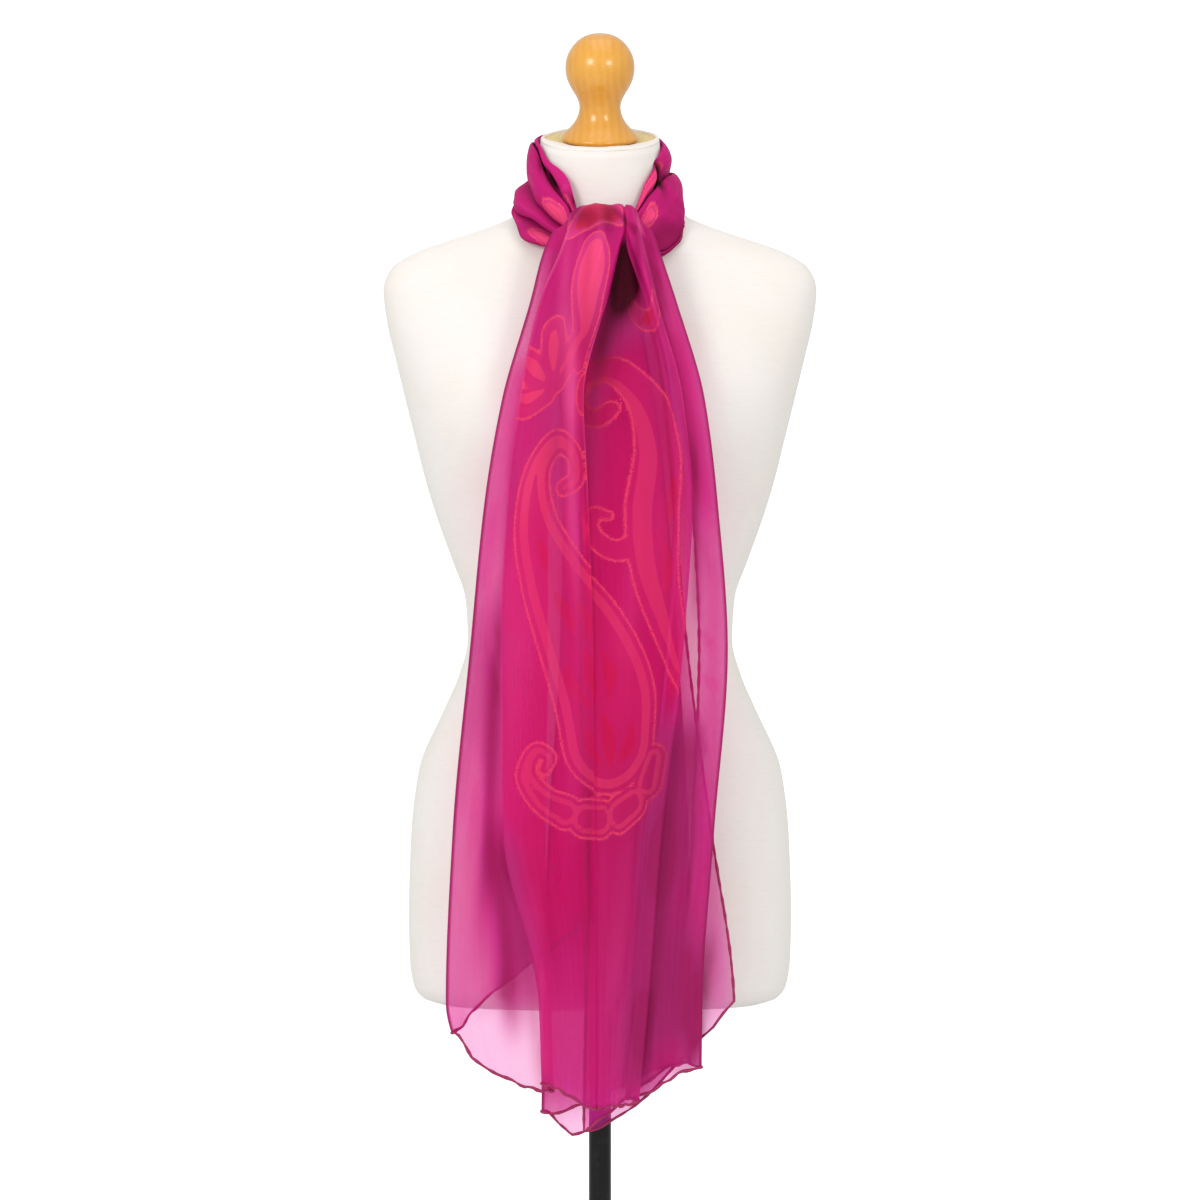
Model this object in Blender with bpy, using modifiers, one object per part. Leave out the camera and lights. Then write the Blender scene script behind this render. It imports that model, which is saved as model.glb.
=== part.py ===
"""A long chiffon scarf tied once at the throat of a dress form.

The scarf is one rectangle of cloth. It is modelled as the stretches that show: the wrap round
the left, the back and the right of the neck, the front fall that comes up behind the crossing
and drops over it, and the back fall that hangs behind the front one. The form is a padded
torso with a neck cap and a turned knob, on a pole that stands in a round base.

Metres, +Z up. The front faces -Y, and the origin is on the floor, under the pole.
"""

import math
from collections import namedtuple

import bmesh
import bpy
import numpy as np

MM = 0.001

# ---------------------------------------------------------------- driving sizes
WALL = 0.0010  # thickness of the scarf's wall
SEAM_GAP_DEG = 0.5  # half the gap where two stretches of the wrap meet

# ---------------------------------------------------------------- form: torso
# Each row is one level section of the torso, in millimetres. front and back are its depths
# before and behind the axis, power is 2 for an ellipse and less for a winged outline, and
# tilt is how many degrees the section dips towards the front.
FormSection = namedtuple("FormSection", "height half_width front back power tilt")
FORM_SECTIONS = [
    FormSection(720, 142, 76, 84, 2.2, 0),
    FormSection(725, 158, 89, 97, 2.2, 0),
    FormSection(736, 167, 97, 106, 2.2, 0),
    FormSection(760, 171, 100, 110, 2.2, 0),
    FormSection(800, 172, 101, 112, 2.2, 0),
    FormSection(870, 170, 101, 112, 2.2, 0),
    FormSection(930, 163, 96, 101, 2.2, 0),
    FormSection(985, 140, 89, 81, 2.2, 0),
    FormSection(1015, 127, 86, 72, 2.2, 0),
    FormSection(1047, 119, 84, 67, 2.2, 0),
    FormSection(1083, 121, 86, 69, 2.2, 0),
    FormSection(1119, 133, 91, 76, 2.2, 0),
    FormSection(1155, 146, 97, 84, 2.3, 0),
    FormSection(1191, 157, 101, 92, 2.4, 0),
    FormSection(1227, 166, 102, 98, 2.4, 0),
    FormSection(1263, 175, 97, 102, 2.4, 0),
    FormSection(1300, 184, 88, 103, 2.3, 1),
    FormSection(1335, 192, 76, 98, 2.2, 2),
    FormSection(1362, 195, 65, 88, 2.1, 4),
    FormSection(1380, 189, 57, 78, 2.0, 6),
    FormSection(1394, 170, 52, 70, 1.8, 8),
    FormSection(1406, 138, 50, 65, 1.6, 9),
    FormSection(1418, 101, 50, 61, 1.45, 10),
    FormSection(1430, 75, 50, 59, 1.6, 11),
    FormSection(1446, 61, 50, 57, 1.9, 12),
    FormSection(1468, 56, 50, 56, 2.0, 14),
    FormSection(1496, 53.5, 51, 56, 2.0, 16),
]
FORM_SEGMENTS = 36
BUST_HEIGHT = 1.232
BUST_OUT = 0.088  # from the axis to each cup's crown
BUST_DEPTH = 0.020
BUST_SPREAD = 0.048
BUST_ABOVE = 0.070
BUST_BELOW = 0.050

# ---------------------------------------------------------------- form: cap, knob, stand
NECK_TOP = FORM_SECTIONS[-1]
CAP_INSET = 0.0030
CAP_THICK = 0.0020
FIT_GAP = 0.0004  # between pieces that touch

# The knob's outline from its foot up, in millimetres.
KnobPoint = namedtuple("KnobPoint", "up radius")
KNOB_PROFILE = [
    KnobPoint(0, 31.0),
    KnobPoint(1, 33.2),
    KnobPoint(3.5, 34.2),
    KnobPoint(6.5, 32.2),
    KnobPoint(11, 27.6),
    KnobPoint(16, 23.4),
    KnobPoint(21, 20.6),
    KnobPoint(27, 18.9),
    KnobPoint(33, 18.8),
    KnobPoint(40, 21.6),
    KnobPoint(48, 26.6),
    KnobPoint(56, 29.8),
    KnobPoint(65, 30.9),
    KnobPoint(74, 29.6),
    KnobPoint(82, 25.3),
    KnobPoint(88, 19.0),
    KnobPoint(92, 11.0),
    KnobPoint(94, 0),
]
KNOB_FORWARD = 0.006
KNOB_STEPS = 24

POLE_RADIUS = 0.010
BASE_RADIUS = 0.180
BASE_THICK = 0.010
BASE_EDGE = 0.003
BOSS_RADIUS = 0.024
BOSS_HEIGHT = 0.045
BOSS_EDGE = 0.004
BOSS_FOOT = 0.006  # reach of the slope between the boss and the plate
BASE_STEPS = 40

# ---------------------------------------------------------------- scarf: wrap round the neck
# Each row is one station round the neck: degrees from the front middle (+X is positive), the
# heights of the wrap's upper and lower edges and how far it stands off the form, all in
# millimetres, and how full its rolls are.
WrapStation = namedtuple("WrapStation", "angle top bottom stand_off fullness")
WRAP_STATIONS = [
    WrapStation(-180, 1513, 1410, 2.5, 1.00),
    WrapStation(-135, 1508, 1424, 2.5, 1.00),
    WrapStation(-90, 1498, 1438, 2.5, 1.00),
    WrapStation(-72, 1491, 1424, 2.5, 1.00),
    WrapStation(-54, 1480, 1403, 3.0, 1.05),
    WrapStation(-38, 1470, 1396, 5.0, 1.00),
    WrapStation(-26, 1452, 1391, 10.0, 0.85),
    WrapStation(-19, 1427, 1389, 14.0, 0.72),
    WrapStation(-14, 1413, 1388, 15.5, 0.65),
    WrapStation(3, 1413, 1388, 16.0, 0.62),
    WrapStation(17, 1413, 1387, 15.5, 0.66),
    WrapStation(24, 1421, 1386, 13.0, 0.74),
    WrapStation(33, 1436, 1386, 9.0, 0.90),
    WrapStation(44, 1450, 1388, 5.0, 1.00),
    WrapStation(59, 1470, 1401, 3.0, 1.00),
    WrapStation(75, 1486, 1424, 2.5, 1.00),
    WrapStation(90, 1494, 1438, 2.5, 1.00),
    WrapStation(135, 1507, 1424, 2.5, 1.00),
    WrapStation(180, 1513, 1410, 2.5, 1.00),
]
# A value that changes round the neck: in front of each side, at each side, and at the back.
AroundNeck = namedtuple("AroundNeck", "left_front left_side back right_side right_front")
AROUND_ANGLES = AroundNeck(-45, -90, 180, 90, 45)
# Each row is one roll of cloth, from the upper edge down. starts is the share of the wrap's
# height where it starts, and bulge is how far it stands out, in millimetres. At its start the
# cloth doubles back by overlap millimetres: over the roll above it, or under it.
WrapRoll = namedtuple("WrapRoll", "name joins overlap starts bulge")
WRAP_ROLLS = [
    WrapRoll("collar", "edge", 0, AroundNeck(1, 1, 1, 1, 1), AroundNeck(6, 5, 6, 4, 6)),
    WrapRoll("upper", "over", 9, AroundNeck(0.78, 0.68, 0.74, 0.62, 0.84),
             AroundNeck(11.5, 10, 12, 13, 14.5)),
    WrapRoll("middle", "under", 9, AroundNeck(0.50, 0.48, 0.45, 0.20, 0.19),
             AroundNeck(15, 12.5, 12, 10, 11)),
    WrapRoll("lower", "under", 9, AroundNeck(0.24, 0.24, 0.22, 0.10, 0.09),
             AroundNeck(13.5, 10, 10, 8, 8.5)),
]
ROLL_GAP = 2.3  # millimetres from one layer of cloth to the next where it doubles back
ROLL_OVER_MOST = 0.33  # most of its own height by which a roll doubles over the one above
ROLL_UNDER_MOST = 0.25  # most of the height of the roll above under which one tucks
ROLL_SWELL = 0.16  # shares of a roll's height, from its start, at which it swells, is full
ROLL_FULL = 0.50  # and eases in again
ROLL_EASE = 0.78
ROLL_CLEAR = 1.3  # millimetres that two rolls keep from the form under the doubled cloth
ROLL_IN = 0.82  # share of a roll's bulge that is left at its lower edge
COLLAR_IN = 0.50  # and of the collar's
EDGE_OUT = 0.5  # millimetres from the upper edge to the stand-off surface
EDGE_UNDER = 2.2  # millimetres that the lowest edge turns under
NECK_HEIGHT = 1.452  # below this the form flares out into the shoulders
FLARE = 0.85  # share of that flare which the wrap follows
WRAP_FIRST = 3.0  # degrees from the front middle where the wraps start
WRAP_SEAM = 118.0  # degrees from the front middle to the seams of the back stretch
SIDE_STEPS = 13
BACK_STEPS = 9
SIDE_RATE = 1.4  # above 1, the steps are shorter towards the front

# ---------------------------------------------------------------- scarf: falls
# How the falls hang at each height, in millimetres: the place of the rearmost cloth, the gap
# from one layer of cloth to the next, how much the cloth bows back at its sides (per metre),
# and how much of a fold's lift shows.
Hang = namedtuple("Hang", "height rear gap bow lift")
HANG = [
    Hang(600, -121, 4.3, 0.3, 0.0),
    Hang(734, -122, 4.3, 0.3, 0.0),
    Hang(882, -124, 4.2, 0.3, 0.0),
    Hang(1040, -126, 4.0, 0.3, 0.0),
    Hang(1170, -127, 3.8, 0.3, 0.0),
    Hang(1258, -125, 3.5, 0.5, 0.15),
    Hang(1300, -115, 3.2, 1.2, 0.60),
    Hang(1345, -102, 2.9, 2.2, 1.00),
    Hang(1375, -93, 2.6, 3.0, 0.95),
    Hang(1389, -88, 2.5, 3.0, 0.80),
    Hang(1407, -84, 2.4, 3.0, 0.20),
]
REAR_LAYER = 7  # layers are counted back from 0, the plain face of the front fall

# Each row is one fold or edge of a fall, in the order in which the cloth meets them. Its
# places across are in millimetres, at the heights of FALL_HEIGHTS, and hem is the height at
# which it ends. layer, lift and parts are of the cloth from this line to the next: its place
# in the stack, how far it lifts forward, and how many strips it has.
FallHeights = namedtuple("FallHeights", "knot throat chest bust rib waist hip seat low")
FALL_HEIGHTS = FallHeights(1407, 1389, 1345, 1258, 1170, 1040, 882, 734, 640)
FallLine = namedtuple("FallLine", "name across hem layer lift parts")
FRONT_FALL = [
    FallLine("right_selvedge", FallHeights(39, 43, 52, 72, 80, 86, 80, 75, 75), 684, 3, 0, 1),
    FallLine("right_fold", FallHeights(47, 53, 67, 91, 102, 111, 99, 89, 88), 677, 2, 0, 3),
    FallLine("right_inner", FallHeights(26, 29, 38, 56, 63, 56, 41, 29, 21), 652, 1, 0, 1),
    FallLine("panel_right", FallHeights(36, 40, 50, 72, 80, 72, 54, 42, 33), 650, -1, 14, 1),
    FallLine("strand_left", FallHeights(25, 28, 43, 61, 67, 59, 41, 29, 20), 646, 0, 0, 4),
    FallLine("hollow_left", FallHeights(20, 17.5, 7.5, -7, 1, 3, 5, 6, 6), 643, -0.5, 6, 1),
    FallLine("tongue_right", FallHeights(19, 16, 6, -14, -10, -6, -5, -4, -4), 643, -1, 12, 5),
    FallLine("panel_left", FallHeights(-29, -35, -53, -70, -80, -85, -85, -73, -61), 664, 0, 0, 2),
    FallLine("left_inner", FallHeights(-12, -15, -30, -42, -45, -45, -48, -50, -46), 659, 1, 0, 3),
    FallLine("left_round", FallHeights(-36, -41, -48, -73, -88, -99, -112, -118, -117), 699, 1, 0, 2),
    FallLine("left_fold", FallHeights(-42, -48, -57, -84, -100, -113, -128, -134, -133), 724, 2, 0, 1),
    FallLine("left_return", FallHeights(-31, -36, -44, -66, -78, -87, -100, -105, -105), 745, 2, 0, 4),
    FallLine("left_selvedge", FallHeights(-3, -7, -9, -13, -17, -17, -13, -9, -9), 777, 2, 0, 1),
]
BACK_FALL = [
    FallLine("inner_selvedge", FallHeights(0, 0, -2, -7, -9, -5, -9, -12, -14), 621, 4, 0, 4),
    FallLine("right_fold", FallHeights(26, 28, 33, 47, 58, 68, 77, 80, 79), 680, 5, 0, 5),
    FallLine("left_fold", FallHeights(-20, -21, -23, -28, -32, -35, -45, -50, -51), 637, 6, 0, 2),
    FallLine("low_point", FallHeights(2, 2, 1, -1, -4, -9, -16, -22, -24), 618, 6, 0, 5),
    FallLine("outer_turn", FallHeights(28, 32, 39, 55, 64, 74, 86, 101, 103), 712, 6, 0, 1),
    FallLine("outer_fold", FallHeights(34, 38, 46, 65, 77, 87, 100, 117, 119), 734, 7, 0, 5),
    FallLine("hidden_selvedge", FallHeights(-10, -10, -10, -10, -6, 0, 8, 20, 24), 790, 7, 0, 1),
]
FOLD_ROUND = 3.5  # millimetres from a fold's edge to where it starts to turn
FOLD_ROOM = 0.42  # most of the cloth beside a fold that its turn takes
FRONT_ROWS = 17
FRONT_RATE = 1.25  # above 1, the rows are closer together at the top
BACK_ROWS = 12
BACK_RATE = 1.2
BACK_TOP = FALL_HEIGHTS.knot - 6

# The front fall rolls over the crossing in an arch. These are its middle, the reach of its
# outermost layer up and back, and how far round it goes past the top, in degrees.
CREST_MIDDLE_X = 0.0035
CREST_MIDDLE_Y = -0.0775
CREST_UP = 0.0255
CREST_BACK = 0.0150
CREST_PAST = 42.0
CREST_PAST_LEAST = 0.06  # share of that turn that is left at the arch's ends
CREST_HALF = 0.045
CREST_DROP = 0.3  # share of its height that the arch loses at its ends
CREST_NARROW = 0.28  # share of the fall's width lost at the top of the arch
CREST_NEST = 0.4  # share of the gap between layers that is left behind the arch
CREST_ROWS = 5

# Soft folds that run down both falls, in millimetres: where each starts, where it is at the
# hem, how far it stands out, how wide it is, and the heights between which it shows.
SoftFold = namedtuple("SoftFold", "top_x low_x depth width from_height to_height")
SOFT_FOLDS = [
    SoftFold(-22, -42, 5.0, 19, 1380, 640),
    SoftFold(26, 14, 4.5, 18, 1290, 700),
    SoftFold(58, 44, 4.0, 18, 1280, 900),
    SoftFold(-58, -108, 3.5, 20, 1240, 720),
    SoftFold(86, 96, 3.0, 20, 1180, 880),
    SoftFold(92, 42, 4.0, 18, 900, 650),
]
SOFT_FOLD_START = 0.25  # share of a soft fold's run in which it reaches its depth


# ---------------------------------------------------------------- curves through tables
def curve_through(stops, values, at):
    """A smooth curve through the values that doesn't overshoot them; the stops rise."""
    stops, values = np.asarray(stops, float), np.asarray(values, float)
    step = np.diff(stops)
    slope = np.diff(values) / step
    tangent = np.zeros_like(values)
    tangent[0], tangent[-1] = slope[0], slope[-1]
    for i in range(1, len(values) - 1):
        if slope[i - 1] * slope[i] > 0:
            before, after = 2 * step[i] + step[i - 1], step[i] + 2 * step[i - 1]
            tangent[i] = (before + after) / (before / slope[i - 1] + after / slope[i])
    at = np.clip(at, stops[0], stops[-1])
    i = np.clip(np.searchsorted(stops, at, side="right") - 1, 0, len(step) - 1)
    t = (at - stops[i]) / step[i]
    return (
        values[i] * (1 + 2 * t) * (1 - t) ** 2
        + tangent[i] * step[i] * t * (1 - t) ** 2
        + values[i + 1] * t * t * (3 - 2 * t)
        + tangent[i + 1] * step[i] * t * t * (t - 1)
    )


def column(rows, name, key, at):
    """The value of one column of a table at a place between its rows."""
    stops = [getattr(row, key) for row in rows]
    return curve_through(stops, [getattr(row, name) for row in rows], at)


# ---------------------------------------------------------------- the form's surface
def form_size(height, name):
    """A column of the form's table at a height in metres, in metres or, for power, as it is."""
    value = column(FORM_SECTIONS, name, "height", height / MM)
    return value if name == "power" else value * MM


def form_dip(height):
    return math.tan(math.radians(float(column(FORM_SECTIONS, "tilt", "height", height / MM))))


def bust(x, y, height):
    """How far the two cups stand out in front of a section."""
    spread = BUST_ABOVE if height > BUST_HEIGHT else BUST_BELOW
    level = math.exp(-(((height - BUST_HEIGHT) / spread) ** 2))
    across = math.exp(-(((abs(x) - BUST_OUT) / BUST_SPREAD) ** 2))
    return BUST_DEPTH * level * across * max(0.0, -y) / (abs(y) + 0.01)


def form_ring(section, inset=0.0, raised=0.0):
    """The points of one section of the form, anticlockwise from +X, tilted to its dip."""
    height = section.height * MM + raised
    ring = []
    for k in range(FORM_SEGMENTS):
        angle = 2 * math.pi * k / FORM_SEGMENTS
        c, s = math.cos(angle), math.sin(angle)
        depth = (section.back if s > 0 else section.front) * MM - inset
        width = section.half_width * MM - inset
        x = width * math.copysign(abs(c) ** (2 / section.power), c)
        y = depth * math.copysign(abs(s) ** (2 / section.power), s)
        y -= bust(x, y, height)
        ring.append((x, y, height + math.tan(math.radians(section.tilt)) * y))
    return ring


def form_radius(angle, height):
    """From the neck's axis to the form's surface, angle degrees from the front, at a height."""
    out, ahead = math.sin(math.radians(angle)), math.cos(math.radians(angle))
    level = height
    for _ in range(8):
        power = form_size(level, "power")
        depth = form_size(level, "front" if ahead > 0 else "back")
        across = (abs(out) / form_size(level, "half_width")) ** power
        radius = (across + (abs(ahead) / depth) ** power) ** (-1 / power)
        level = height + form_dip(level) * radius * ahead
    return radius


# ---------------------------------------------------------------- meshes
def new_object(name, mesh, colour, roughness, metallic=0.0):
    """An object in the part's collection, with a material of its own."""
    material = bpy.data.materials.new(name)
    material.use_nodes = True
    shader = material.node_tree.nodes["Principled BSDF"]
    shader.inputs["Base Color"].default_value = (*colour, 1.0)
    shader.inputs["Roughness"].default_value = roughness
    shader.inputs["Metallic"].default_value = metallic
    mesh.materials.append(material)
    obj = bpy.data.objects.new(name, mesh)
    bpy.data.collections["scarf_on_form"].objects.link(obj)
    return obj


def lofted(name, rings):
    """A closed mesh through rings of equal length, with flat ends."""
    mesh = bmesh.new()
    loops = [[mesh.verts.new(point) for point in ring] for ring in rings]
    for lower, upper in zip(loops, loops[1:]):
        for k in range(len(lower)):
            after = (k + 1) % len(lower)
            mesh.faces.new((lower[k], lower[after], upper[after], upper[k]))
    mesh.faces.new(reversed(loops[0]))
    mesh.faces.new(loops[-1])
    data = bpy.data.meshes.new(name)
    mesh.to_mesh(data)
    mesh.free()
    return data


def turned(name, profile, steps, colour, roughness, metallic=0.0):
    """An outline, given from the top down as (radius, height), turned with a Screw modifier."""
    mesh = bmesh.new()
    points = [mesh.verts.new((radius, 0, up)) for radius, up in profile]
    for a, b in zip(points, points[1:]):
        mesh.edges.new((a, b))
    data = bpy.data.meshes.new(name)
    mesh.to_mesh(data)
    mesh.free()
    obj = new_object(name, data, colour, roughness, metallic)
    screw = obj.modifiers.new("turn", "SCREW")
    screw.steps = screw.render_steps = steps
    screw.use_merge_vertices = True
    screw.merge_threshold = 0.00005
    screw.use_smooth_shade = True
    return obj


def cloth(name, rows, colour):
    """A wall of cloth through rows of points, all with the same number of points."""
    mesh = bmesh.new()
    bmesh.ops.create_grid(
        mesh, x_segments=len(rows[0]) - 1, y_segments=len(rows) - 1, size=1
    )
    mesh.verts.ensure_lookup_table()
    points = [point for row in rows for point in row]
    for vertex, point in zip(mesh.verts, points):
        vertex.co = point
    data = bpy.data.meshes.new(name)
    mesh.to_mesh(data)
    mesh.free()
    data.shade_smooth()
    obj = new_object(name, data, colour, 0.55)
    wall = obj.modifiers.new("wall", "SOLIDIFY")
    wall.thickness = WALL
    wall.offset = 0.0
    return obj


# ---------------------------------------------------------------- scarf: the wrap
def around(values, angle):
    """A value of AroundNeck at an angle."""
    stops = [-180, AROUND_ANGLES.left_side, AROUND_ANGLES.left_front,
             AROUND_ANGLES.right_front, AROUND_ANGLES.right_side, 180]
    levels = [values.back, values.left_side, values.left_front,
              values.right_front, values.right_side, values.back]
    return float(curve_through(stops, levels, angle))


def wrap_profile(angle):
    """The wrap's section at one angle, from its upper edge down, as (out, height) in mm."""
    top = float(column(WRAP_STATIONS, "top", "angle", angle))
    bottom = float(column(WRAP_STATIONS, "bottom", "angle", angle))
    full = float(column(WRAP_STATIONS, "fullness", "angle", angle))
    levels = [bottom + (top - bottom) * around(roll.starts, angle) for roll in WRAP_ROLLS]
    levels.append(bottom)
    least = 2 * ROLL_GAP + ROLL_CLEAR
    profile = [(EDGE_OUT, top)]
    for i, roll in enumerate(WRAP_ROLLS):
        start, end = levels[i], levels[i + 1]
        span = start - end
        bulge = max(around(roll.bulge, angle) * full, least if i else 0)
        out = profile[-1][0]
        if roll.joins == "over":
            overlap = min(roll.overlap, ROLL_OVER_MOST * span)
            profile += [(out, start - overlap), (out + ROLL_GAP, start - overlap),
                        (out + ROLL_GAP, start), (out + 2 * ROLL_GAP, start)]
            out += 2 * ROLL_GAP
            bulge = max(bulge, out + 1.0)
        if roll.joins == "under":
            overlap = min(roll.overlap, ROLL_UNDER_MOST * (levels[i - 1] - start))
            out -= ROLL_GAP
            profile += [(out, start), (out, start + overlap), (out - ROLL_GAP, start + overlap)]
            out -= ROLL_GAP
            profile.append((out + 0.2, start - ROLL_SWELL * span))
        else:
            profile.append((0.4 * out + 0.6 * bulge, start - ROLL_SWELL * span))
        inward = ROLL_IN if i else COLLAR_IN
        covered = roll.name in ("upper", "middle")
        profile.append((bulge, start - ROLL_FULL * span))
        profile.append((0.5 * (1 + inward) * bulge, start - ROLL_EASE * span))
        profile.append((max(inward * bulge, least if covered else 1.0), end))
    out, height = profile[-1]
    profile.append((out - EDGE_UNDER, height - 1.0))
    return profile


def wrap_row(angle):
    stand_off = float(column(WRAP_STATIONS, "stand_off", "angle", angle))
    neck = form_radius(angle, NECK_HEIGHT)
    row = []
    for out, height in wrap_profile(angle):
        radius = form_radius(angle, height * MM)
        if height * MM < NECK_HEIGHT:
            radius = neck + FLARE * (radius - neck)
        radius += (stand_off + out) * MM
        x = radius * math.sin(math.radians(angle))
        y = -radius * math.cos(math.radians(angle))
        row.append((x, y, height * MM))
    return row


def wrap(name, first, last, steps, rate, colour):
    angles = [first + (last - first) * (k / steps) ** rate for k in range(steps + 1)]
    rows = [wrap_row((angle + 180) % 360 - 180) for angle in angles]
    return cloth(name, rows, colour)


# ---------------------------------------------------------------- scarf: the falls
def hang(name, height):
    return float(column(HANG, name, "height", height))


def line_x(line, height):
    return float(curve_through(FALL_HEIGHTS[::-1], line.across[::-1], height))


def soft_folds(x, height):
    """How far the soft folds carry the cloth forward."""
    total = 0.0
    for fold in SOFT_FOLDS:
        span = (fold.from_height - height) / (fold.from_height - fold.to_height)
        middle = fold.top_x + (fold.low_x - fold.top_x) * min(max(span, 0.0), 1.0)
        shows = min(max(span / SOFT_FOLD_START, 0.0), 1.0)
        shows *= shows * (3 - 2 * shows)
        total += shows * fold.depth * math.exp(-(((x - middle) / fold.width) ** 2))
    return total


def bow(x, height):
    """How far the cloth lies back at its sides."""
    return hang("bow", height) * (x - CREST_MIDDLE_X / MM) ** 2 * MM


def layer_y(line, height):
    """The place from front to back of the cloth that follows a line, before bow and folds."""
    stack = (REAR_LAYER - line.layer) * hang("gap", height)
    return hang("rear", height) - stack - line.lift * hang("lift", height)


# A point of a row: its place across, the lines before and after it, whose layers it is half
# way between, and the line it lies on, if any.
RowPoint = namedtuple("RowPoint", "x before after on")


def row_points(lines, height):
    """The points of a fall at one height. A fold has three: turning, at its edge, turned."""
    places = [line_x(line, height) for line in lines]
    points = [RowPoint(places[0], lines[0], lines[0], lines[0])]
    for i in range(1, len(lines)):
        before, after = lines[i - 1], lines[i]
        from_x, at, last = points[-1].x, places[i], i == len(lines) - 1
        turns = not last and (before.layer, before.lift) != (after.layer, after.lift)
        room = min(abs(at - from_x), abs(places[i + 1] - at)) if turns else 0.0
        cut = min(FOLD_ROUND, FOLD_ROOM * room)
        stop = at - math.copysign(cut, at - from_x)
        for k in range(1, before.parts + 1):
            on = after if k == before.parts and not turns else None
            points.append(RowPoint(from_x + (stop - from_x) * k / before.parts, before, before, on))
        if turns:
            points.append(RowPoint(at, before, after, after))
            points.append(RowPoint(at + math.copysign(cut, places[i + 1] - at), after, after, None))
    return points


def fall_hems(lines):
    """The height of the hem at each point of a row, in millimetres; it is level at a fold."""
    points = row_points(lines, FALL_HEIGHTS.seat)
    steps = np.abs(np.diff([point.x for point in points])) + 0.5
    along = np.concatenate([[0.0], np.cumsum(steps)])
    stops, hems = [], []
    for i, point in enumerate(points):
        if point.on:
            level = [i - 1, i, i + 1] if point.before is not point.after else [i]
            stops += [along[k] for k in level]
            hems += [point.on.hem] * len(level)
    return curve_through(stops, hems, along)


def fall_rows(lines, top, rows, rate):
    """Rows of (x, y, z) points down a fall, in millimetres."""
    hems = fall_hems(lines)
    made = []
    for k in range(rows + 1):
        share = (k / rows) ** rate
        row = []
        for i, hem in enumerate(hems):
            height = top + (hem - top) * share
            point = row_points(lines, height)[i]
            y = 0.5 * (layer_y(point.before, height) + layer_y(point.after, height))
            y += bow(point.x, height) - soft_folds(point.x, height)
            row.append((point.x, y, height))
        made.append(row)
    return made


def crest_rows(knot_row):
    """Rows that carry the knot's row up and back over the crossing, the last one first."""
    outermost = min(y - bow(x, z) for x, y, z in knot_row)
    middle_x, middle_y = CREST_MIDDLE_X / MM, CREST_MIDDLE_Y / MM
    made = []
    for k in range(CREST_ROWS, 0, -1):
        row = []
        for x, y, z in knot_row:
            aside = (x - middle_x) * MM / CREST_HALF
            past = CREST_PAST * max(1 - aside * aside, CREST_PAST_LEAST)
            turn = (90 + past) * k / CREST_ROWS
            up, ahead = math.sin(math.radians(turn)), math.cos(math.radians(turn))
            inner = y - bow(x, z) - outermost
            reach = middle_y - y if ahead > 0 else CREST_BACK / MM - CREST_NEST * inner
            narrow = 1 - CREST_NARROW * math.sin(math.radians(min(turn, 90)))
            rise = (CREST_UP / MM - inner) * (1 - CREST_DROP * aside * aside)
            row.append((middle_x + (x - middle_x) * narrow, middle_y - reach * ahead, z + rise * up))
        made.append(row)
    return made


def metres(rows):
    return [[(x * MM, y * MM, z * MM) for x, y, z in row] for row in rows]


def front_fall(colour):
    rows = fall_rows(FRONT_FALL, FALL_HEIGHTS.knot, FRONT_ROWS, FRONT_RATE)
    return cloth("front_fall", metres(crest_rows(rows[0]) + rows), colour)


def back_fall(colour):
    rows = fall_rows(BACK_FALL, BACK_TOP, BACK_ROWS, BACK_RATE)
    return cloth("back_fall", metres(rows), colour)


# ---------------------------------------------------------------- the form's pieces
def torso():
    rings = [form_ring(section) for section in FORM_SECTIONS]
    obj = new_object("torso", lofted("torso", rings), (0.88, 0.84, 0.79), 0.9)
    obj.data.shade_smooth()
    return obj


def neck_cap():
    low = form_ring(NECK_TOP, CAP_INSET, FIT_GAP)
    high = form_ring(NECK_TOP, CAP_INSET, FIT_GAP + CAP_THICK)
    return new_object("neck_cap", lofted("neck_cap", [low, high]), (0.72, 0.60, 0.30), 0.85)


def knob():
    profile = [(point.radius * MM, point.up * MM) for point in reversed(KNOB_PROFILE)]
    profile.append((0.0, 0.0))
    obj = turned("knob", profile, KNOB_STEPS, (0.80, 0.45, 0.12), 0.3)
    dip = math.radians(NECK_TOP.tilt)
    lift = 2 * FIT_GAP + CAP_THICK
    forward = KNOB_FORWARD * math.cos(dip)
    obj.location = (0, -forward, NECK_TOP.height * MM + lift - forward * math.tan(dip))
    obj.rotation_euler = (dip, 0, 0)
    return obj


def pole():
    bottom, top = BOSS_HEIGHT + FIT_GAP, FORM_SECTIONS[0].height * MM - FIT_GAP
    bpy.ops.mesh.primitive_cylinder_add(
        vertices=24, radius=POLE_RADIUS, depth=top - bottom, location=(0, 0, (top + bottom) / 2)
    )
    made = bpy.context.object
    mesh = made.data
    place = made.location.copy()
    bpy.data.objects.remove(made)
    obj = new_object("pole", mesh, (0.03, 0.03, 0.032), 0.3, 0.6)
    obj.location = place
    return obj


def base():
    profile = [
        (0.0, BOSS_HEIGHT),
        (BOSS_RADIUS - BOSS_EDGE, BOSS_HEIGHT),
        (BOSS_RADIUS, BOSS_HEIGHT - BOSS_EDGE),
        (BOSS_RADIUS, BASE_THICK + BOSS_FOOT),
        (BOSS_RADIUS + BOSS_FOOT, BASE_THICK),
        (BASE_RADIUS - BASE_EDGE, BASE_THICK),
        (BASE_RADIUS, BASE_THICK - BASE_EDGE),
        (BASE_RADIUS, 0.0),
        (0.0, 0.0),
    ]
    return turned("base", profile, BASE_STEPS, (0.03, 0.03, 0.032), 0.4, 0.5)


def clear_scene():
    for obj in list(bpy.data.objects):
        bpy.data.objects.remove(obj)
    bpy.context.scene.collection.children.link(bpy.data.collections.new("scarf_on_form"))


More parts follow.
